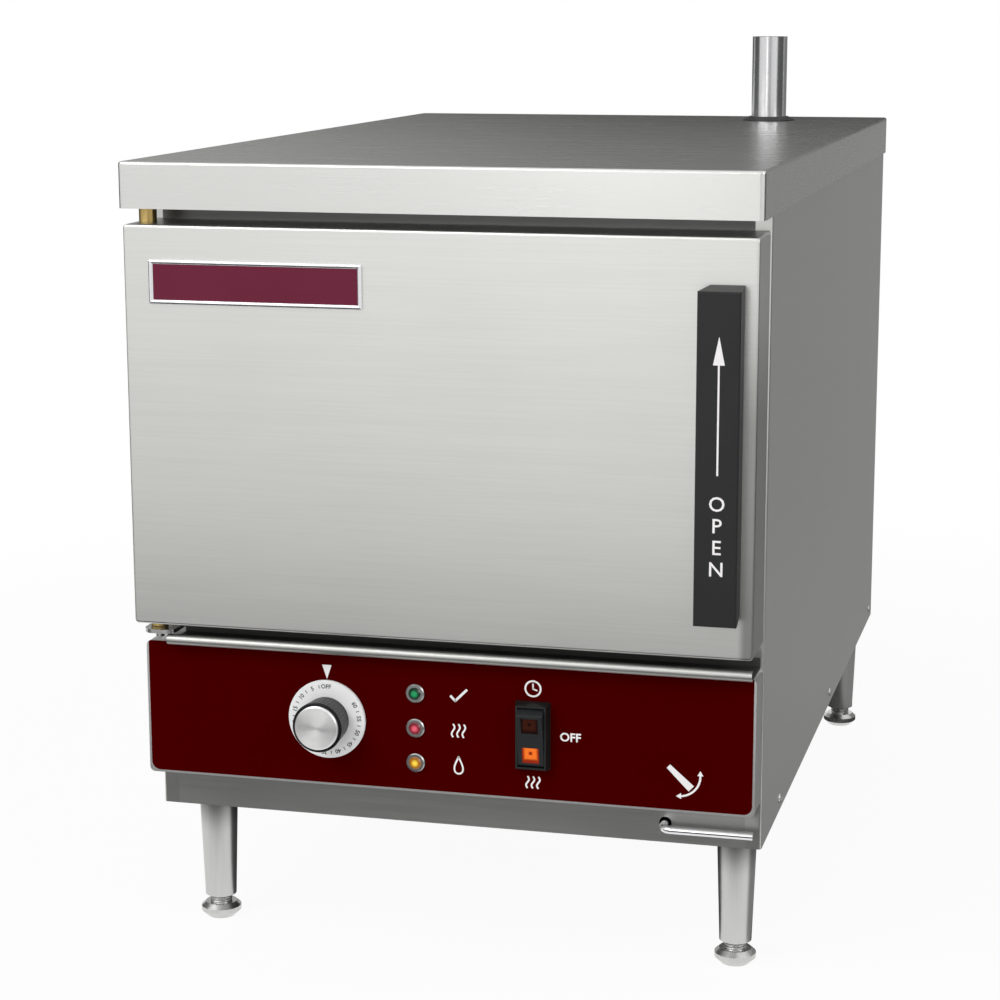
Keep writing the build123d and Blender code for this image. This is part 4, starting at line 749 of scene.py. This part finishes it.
# The timer: a printed metal dial, a fluted black knob on its shaft and a spun cap. The dial
# turns with the knob under the printed pointer, so its numbers run round it, and the figures
# are minutes, five to each step.
dial_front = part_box("timer_dial")[0].y
knob_low, knob_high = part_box("timer_knob")
cap_low, cap_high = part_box("knob_cap")
dial_metal, sockets, place = new_finish("dial_metal")
frost, clouds = noise(place, 0.0005, 2.0), noise(place, 0.02, 2.0)
feed(
    sockets,
    Base_Color=clouds.tint((0.92, 0.92, 0.91, 1.0), (0.97, 0.97, 0.96, 1.0)),
    Metallic=0.0,
    Roughness=0.40 + 0.1 * frost,
    Normal=relief(frost, 0.00001),
)
dress(dial_metal, "timer_dial")
knob_black = moulded("knob_black", (0.007, 0.007, 0.008), satin=0.34, grain=0.00001, gloss=0.25)
dress(knob_black, "timer_knob")
dress(fan_steel, "timer_shaft")

flute_count, flute_depth = 40, 0.00030
knob_edge, knob_rim = 0.0009, (cap_high.x - cap_low.x) / 2
knob_foot, knob_reach = 0.0170, (knob_high.x - knob_low.x) / 2
knob_depth = knob_high.y - knob_low.y


def fluted_knob():
    """The radius grows in a straight line from the dial to the front edge, less a cosine in
    the angle for the flutes, which die out at both ends. The front edge is a quarter round,
    and both ends close on the axis."""
    angle = np.linspace(0.0, 2 * np.pi, 8 * flute_count + 1)
    rise = np.concatenate([[0.0], np.linspace(0.0, knob_depth - knob_edge, 12)])
    wide = knob_foot + (knob_reach - knob_foot) * rise / knob_depth
    wide[0] = 0.0
    cut = flute_depth * np.clip(np.sin(np.pi * rise / (knob_depth - knob_edge)) * 4, 0.0, 1.0)
    quarter = np.linspace(0.0, np.pi / 2, 6)[1:]
    edge_wide = knob_reach - knob_edge * (1 - np.cos(quarter))
    edge_rise = knob_depth - knob_edge * (1 - np.sin(quarter))
    wide = np.concatenate([wide, edge_wide, [knob_rim, 0.0]])[:, None]
    rise = np.concatenate([rise, edge_rise, [knob_depth, knob_depth]])[:, None]
    cut = np.concatenate([cut, np.zeros(len(wide) - len(cut))])[:, None]
    radius = wide - cut * (0.5 + 0.5 * np.cos(flute_count * angle))[None, :]
    x = dial_x + radius * np.cos(angle)
    z = dial_z + radius * np.sin(angle)
    return np.stack([x, np.broadcast_to(knob_high.y - rise, x.shape), z], axis=-1)


knob = piece("fluted_knob", [fluted_knob()], knob_black, "timer", smooth=50.0)
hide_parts("timer_knob")

groove_pitch, groove_depth = 0.00036, 0.00002
spun, sockets, place = new_finish("spun_cap")
groove = (place.part("X") - dial_x).diagonal(place.part("Z") - dial_z).wave(groove_pitch)
haze = noise(place, 0.006, 2.0)
feed(
    sockets,
    Base_Color=haze.tint((0.88, 0.88, 0.87, 1.0), (0.95, 0.95, 0.94, 1.0)),
    Metallic=0.85,
    Roughness=0.30 + 0.06 * haze,
    Normal=relief(groove, groove_depth),
)
dress(spun, "knob_cap")

dark_ink, sockets, place = new_finish("dark_ink")
speck = noise(place, 0.0004, 2.0)
feed(
    sockets,
    Base_Color=speck.tint((0.06, 0.06, 0.06, 1.0), (0.12, 0.12, 0.12, 1.0)),
    Roughness=0.55 + 0.1 * speck,
)
step_angle, number_ring = math.radians(25.0), 0.0247
figure_size, figure_bold = 0.0044, 0.00012
tick_inside, tick_outside, tick_width = 0.0236, 0.0262, 0.0006
figures = []
for step in range(13):
    turn_by = step * step_angle
    middle = dial_x - number_ring * math.sin(turn_by), dial_z + number_ring * math.cos(turn_by)
    figure = letters(str(5 * step) if step else "OFF", figure_size, figure_bold)
    figures.append((*figure, middle, turn_by))
dial_face = dial_front - ink_lift
inked("dial_figures", figures, dial_face, dark_ink, "timer")
ticks = []
for step in range(12):
    aim = (step + 0.5) * step_angle
    out = np.array([-math.sin(aim), math.cos(aim)])
    line = [np.array([dial_x, dial_z]) + out * radius for radius in (tick_inside, tick_outside)]
    ticks.append(stroke(line, tick_width, dial_face))
piece("dial_ticks", ticks, dark_ink, "timer", solid=False)


# Three signal lamps, one under the other: chromed bezels, each with a domed jewel of clear
# coloured plastic, which glows a little in the middle, over its lamp.
dress(plated("bezel_chrome", (0.50, 0.51, 0.50), satin=0.24), "lamp_bezels")
heart_inside, heart_outside = 0.0008, 0.0036


def jewel(name, dark, light, node):
    """Clear coloured plastic: darker at the rim, lighter in the middle where the lamp shows."""
    made, sockets, place = new_finish(name)
    middle_x, middle_z = mark_place(node)
    reach = (place.part("X") - middle_x).diagonal(place.part("Z") - middle_z)
    heart = 1.0 - reach.eased(heart_inside, heart_outside)
    facets = noise(place, 0.0016, 1.0)
    colour = heart.tint(dark, light)
    feed(
        sockets,
        Base_Color=colour,
        Emission_Color=colour,
        Emission_Strength=0.25,
        Roughness=0.12 + 0.08 * facets,
        Normal=relief(facets, 0.0002),
        Coat_Weight=0.6,
    )
    dress(made, node)


jewel("green_jewel", (0.0, 0.020, 0.008, 1.0), (0.01, 0.30, 0.10, 1.0), "green_lens")
jewel("red_jewel", (0.16, 0.006, 0.014, 1.0), (0.72, 0.10, 0.15, 1.0), "red_lens")
jewel("amber_jewel", (0.30, 0.10, 0.002, 1.0), (0.90, 0.62, 0.06, 1.0), "amber_lens")


# The switch: a moulded bezel with a glossy rocker, which holds two coloured windows. The lower
# one is lit, and the upper one is dark.
bezel_black = moulded("bezel_black", (0.010, 0.012, 0.012), satin=0.38)
rocker_black = moulded("rocker_black", (0.022, 0.025, 0.026), satin=0.30, grain=0.000008)
dress(bezel_black, "switch_bezel")
dress(rocker_black, "switch_rocker")

window, sockets, place = new_finish("rocker_window")
window_low, window_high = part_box("rocker_windows")
window_half = (window_high.x - window_low.x) / 2
pane_middle = (window_high.z - window_low.z) / 2 - window_half
lit = place.part("Z") < switch_z
pane_z = lit * (switch_z - pane_middle) + (1.0 - lit) * (switch_z + pane_middle)
square = abs(place.part("X") - switch_x).most(abs(place.part("Z") - pane_z)) / window_half
ring = square.eased(0.10, 0.30) * (1.0 - square.eased(0.55, 0.95))
ripple = noise(place, 0.0010, 1.0)
glow_colour = ring.tint((0.30, 0.020, 0.004, 1.0), (1.0, 0.20, 0.02, 1.0))
dull_colour = ring.tint((0.016, 0.002, 0.001, 1.0), (0.050, 0.008, 0.002, 1.0))
feed(
    sockets,
    Base_Color=dull_colour,
    Emission_Color=lit.tint((0.0, 0.0, 0.0, 1.0), glow_colour),
    Emission_Strength=0.9,
    Roughness=0.20 + 0.1 * ripple,
)
dress(window, "rocker_windows")


# The door: a folded skin of satin sheet, an inner panel with a raised field, and a silicone
# gasket pushed on round that field, whose two lips meet the frame.
handle_low, handle_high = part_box("door_handle")


def handle_shadow_strip(place):
    """Painted shadow of the handle on the strip beyond it: 1 from a little past the
    handle outward, fading away over the upper half of its height."""
    beyond = (place.part("X") - handle_high.x).eased(-0.002, 0.004)
    low = handle_low.z + 0.55 * (handle_high.z - handle_low.z)
    return 0.54 * beyond * (1.0 - place.part("Z").eased(low, handle_high.z))


# The skin's colour is darkened on the strip beyond the handle: a painted shadow of the handle.
door_steel = brushed(
    "door_steel", (0.66, 0.66, 0.635), "X", satin=0.33, cloud=0.05, depth=0.000008, painted_shade_mask=handle_shadow_strip
)
dress(door_steel, "door_outer_skin")
dress(liner_steel, "door_inner_panel")

silicone, sockets, place = new_finish("silicone")
bloom, skin = noise(place, 0.020, 3.0), noise(place, 0.0010, 2.0)
feed(
    sockets,
    Base_Color=bloom.tint((0.030, 0.030, 0.031, 1.0), (0.055, 0.055, 0.056, 1.0)),
    Roughness=0.55 + 0.12 * skin,
    Normal=relief(skin, 0.00003),
)
dress(silicone, "door_gasket")
seal_low, seal_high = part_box("door_gasket")
seal_width, seal_corner = 0.012, 0.024


def lipped_seal():
    """A profile carried round a rectangle with round corners. The profile is a flat foot on the
    door and two round lips, each a half sine of the place across it; the path is four quarter
    circles joined by straight runs."""
    path, outward = [], []
    half_x = (seal_high.x - seal_low.x) / 2 - seal_corner
    half_z = (seal_high.z - seal_low.z) / 2 - seal_corner
    for quarter, (way_x, way_z) in enumerate(((1, 1), (-1, 1), (-1, -1), (1, -1))):
        angle = np.radians(np.linspace(90 * quarter, 90 * quarter + 90, 10))
        heading = np.stack([np.cos(angle), np.sin(angle)], axis=1)
        path.append(np.broadcast_to([way_x * half_x, way_z * half_z], heading.shape))
        outward.append(heading)
    path, outward = np.concatenate(path), np.concatenate(outward)
    path, outward = np.concatenate([path, path[:1]]), np.concatenate([outward, outward[:1]])
    across = np.linspace(0.0, 1.0, 25)
    lift = 0.25 + 0.75 * abs(np.sin(2 * np.pi * across)) ** 0.6
    lift[0] = lift[-1] = 0.0
    across, lift = np.append(across, across[0]), np.append(lift, lift[0])
    reach = seal_corner - seal_width * (1 - across)
    flat = path[:, None, :] + outward[:, None, :] * reach[None, :, None]
    middle = (seal_low + seal_high) / 2
    y = seal_low.y + (seal_high.y - seal_low.y) * lift
    y = np.broadcast_to(y, flat.shape[:2])
    return np.stack([middle.x + flat[..., 0], y, middle.z + flat[..., 1]], axis=-1)


seal = piece("gasket_seal", [lipped_seal()], silicone, "door", smooth=60.0)
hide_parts("door_gasket")
dress(leg_steel, "upper_hinge_bracket", "lower_hinge_bracket")

# The latch's spring stands between the slide and a tab on the door's skin.
spring_low, spring_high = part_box("latch_spring")
spring_folds, half_sheet, slide_lift = 3, 0.0003, 0.012


def folded_strip():
    """A strip carried up a folded line, which swings across the door as a sine of the height.
    Half of the sheet's thickness is set off to each side, square to the line, and both ends
    close on its middle."""
    share = np.linspace(0.0, 1.0, 24 * spring_folds + 1)
    middle = (spring_low + spring_high) / 2
    swing = (spring_high.x - spring_low.x) / 2 - half_sheet
    across = middle.x + swing * np.sin(2 * np.pi * spring_folds * share)
    rise = spring_low.z + half_sheet + share * (spring_high.z - spring_low.z - 2 * half_sheet)
    line = np.stack([across, rise], axis=1)
    run = np.gradient(line, axis=0)
    run /= np.linalg.norm(run, axis=1, keepdims=True)
    side = half_sheet * np.stack([-run[:, 1], run[:, 0]], axis=1)
    ways = np.array([1, 1, -1, -1, 1])
    depths = np.array([spring_low.y, spring_high.y, spring_high.y, spring_low.y, spring_low.y])
    flat = line[:, None, :] + ways[None, :, None] * side[:, None, :]
    y = np.broadcast_to(depths, flat.shape[:2])
    strip = np.stack([flat[..., 0], y, flat[..., 1]], axis=-1)
    caps = np.repeat(strip[:, :4].mean(axis=1, keepdims=True), 5, axis=1)
    return np.concatenate([caps[:1], strip, caps[-1:]])


spring = piece("folded_spring", [folded_strip()], fan_steel, "door", smooth=50.0)
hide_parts("latch_spring")
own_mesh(spring)


# The nameplate: a pressed plate on the door's upper left corner, with a bright raised frame
# round a plain enamelled field.
plate_low, plate_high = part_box("nameplate")
plate_frame, field_edge, frame_height = 0.0030, 0.0002, 0.0007
plate_middle, plate_half = (plate_low + plate_high) / 2, (plate_high - plate_low) / 2
plate, sockets, place = new_finish("enamel_plate")
inside_x = plate_half.x - plate_frame - abs(place.part("X") - plate_middle.x)
inside_z = plate_half.z - plate_frame - abs(place.part("Z") - plate_middle.z)
field = inside_x.least(inside_z).eased(-field_edge, field_edge)
clouds, peel = noise(place, 0.05, 2.0), noise(place, 0.0012, 2.0)
enamel = clouds.tint((0.120, 0.010, 0.030, 1.0), (0.150, 0.014, 0.040, 1.0))
rim_across = (inside_x.least(inside_z) + plate_frame) / plate_frame
rim_round = (1.0 - field) * rim_across * (1.0 - rim_across) * 4.0
feed(
    sockets,
    Base_Color=field.tint((0.78, 0.78, 0.80, 1.0), enamel),
    Metallic=1.0 - field,
    Roughness=0.16 + 0.26 * field,
    Normal=relief(rim_round + 0.01 * peel, frame_height),
    Specular_IOR_Level=0.15,
)
dress(plate, "nameplate")


# The handle: one long black moulding on the latch's two studs. A white arrow printed on its
# front points up, the way that it is pulled, over the word that says what that does.
handle_black = moulded("handle_black", (0.016, 0.016, 0.017), satin=0.46, gloss=0.28)
dress(handle_black, "door_handle")
handle_face = handle_low.y - ink_lift
arrow_x = (handle_low.x + handle_high.x) / 2 + 0.0005
arrow_tip, arrow_head, arrow_foot = (handle_high.z - down for down in (0.033, 0.052, 0.127))
arrow_line, arrow_wide = 0.0013, 0.0080
arrow = [
    stroke([(arrow_x, arrow_foot), (arrow_x, arrow_head)], arrow_line, handle_face),
    stroke([(arrow_x, arrow_head), (arrow_x, arrow_tip)], [arrow_wide, sharp], handle_face),
]
piece("handle_arrow", arrow, white_ink, "latch", solid=False)
letter_top, letter_step = handle_high.z - 0.147, 0.0150
letter_size, letter_bold = 0.0142, 0.00010
handle_words = [
    (*letters(letter, letter_size, letter_bold), (arrow_x, letter_top - count * letter_step), 0.0)
    for count, letter in enumerate("OPEN")
]
inked("handle_words", handle_words, handle_face, white_ink, "latch")
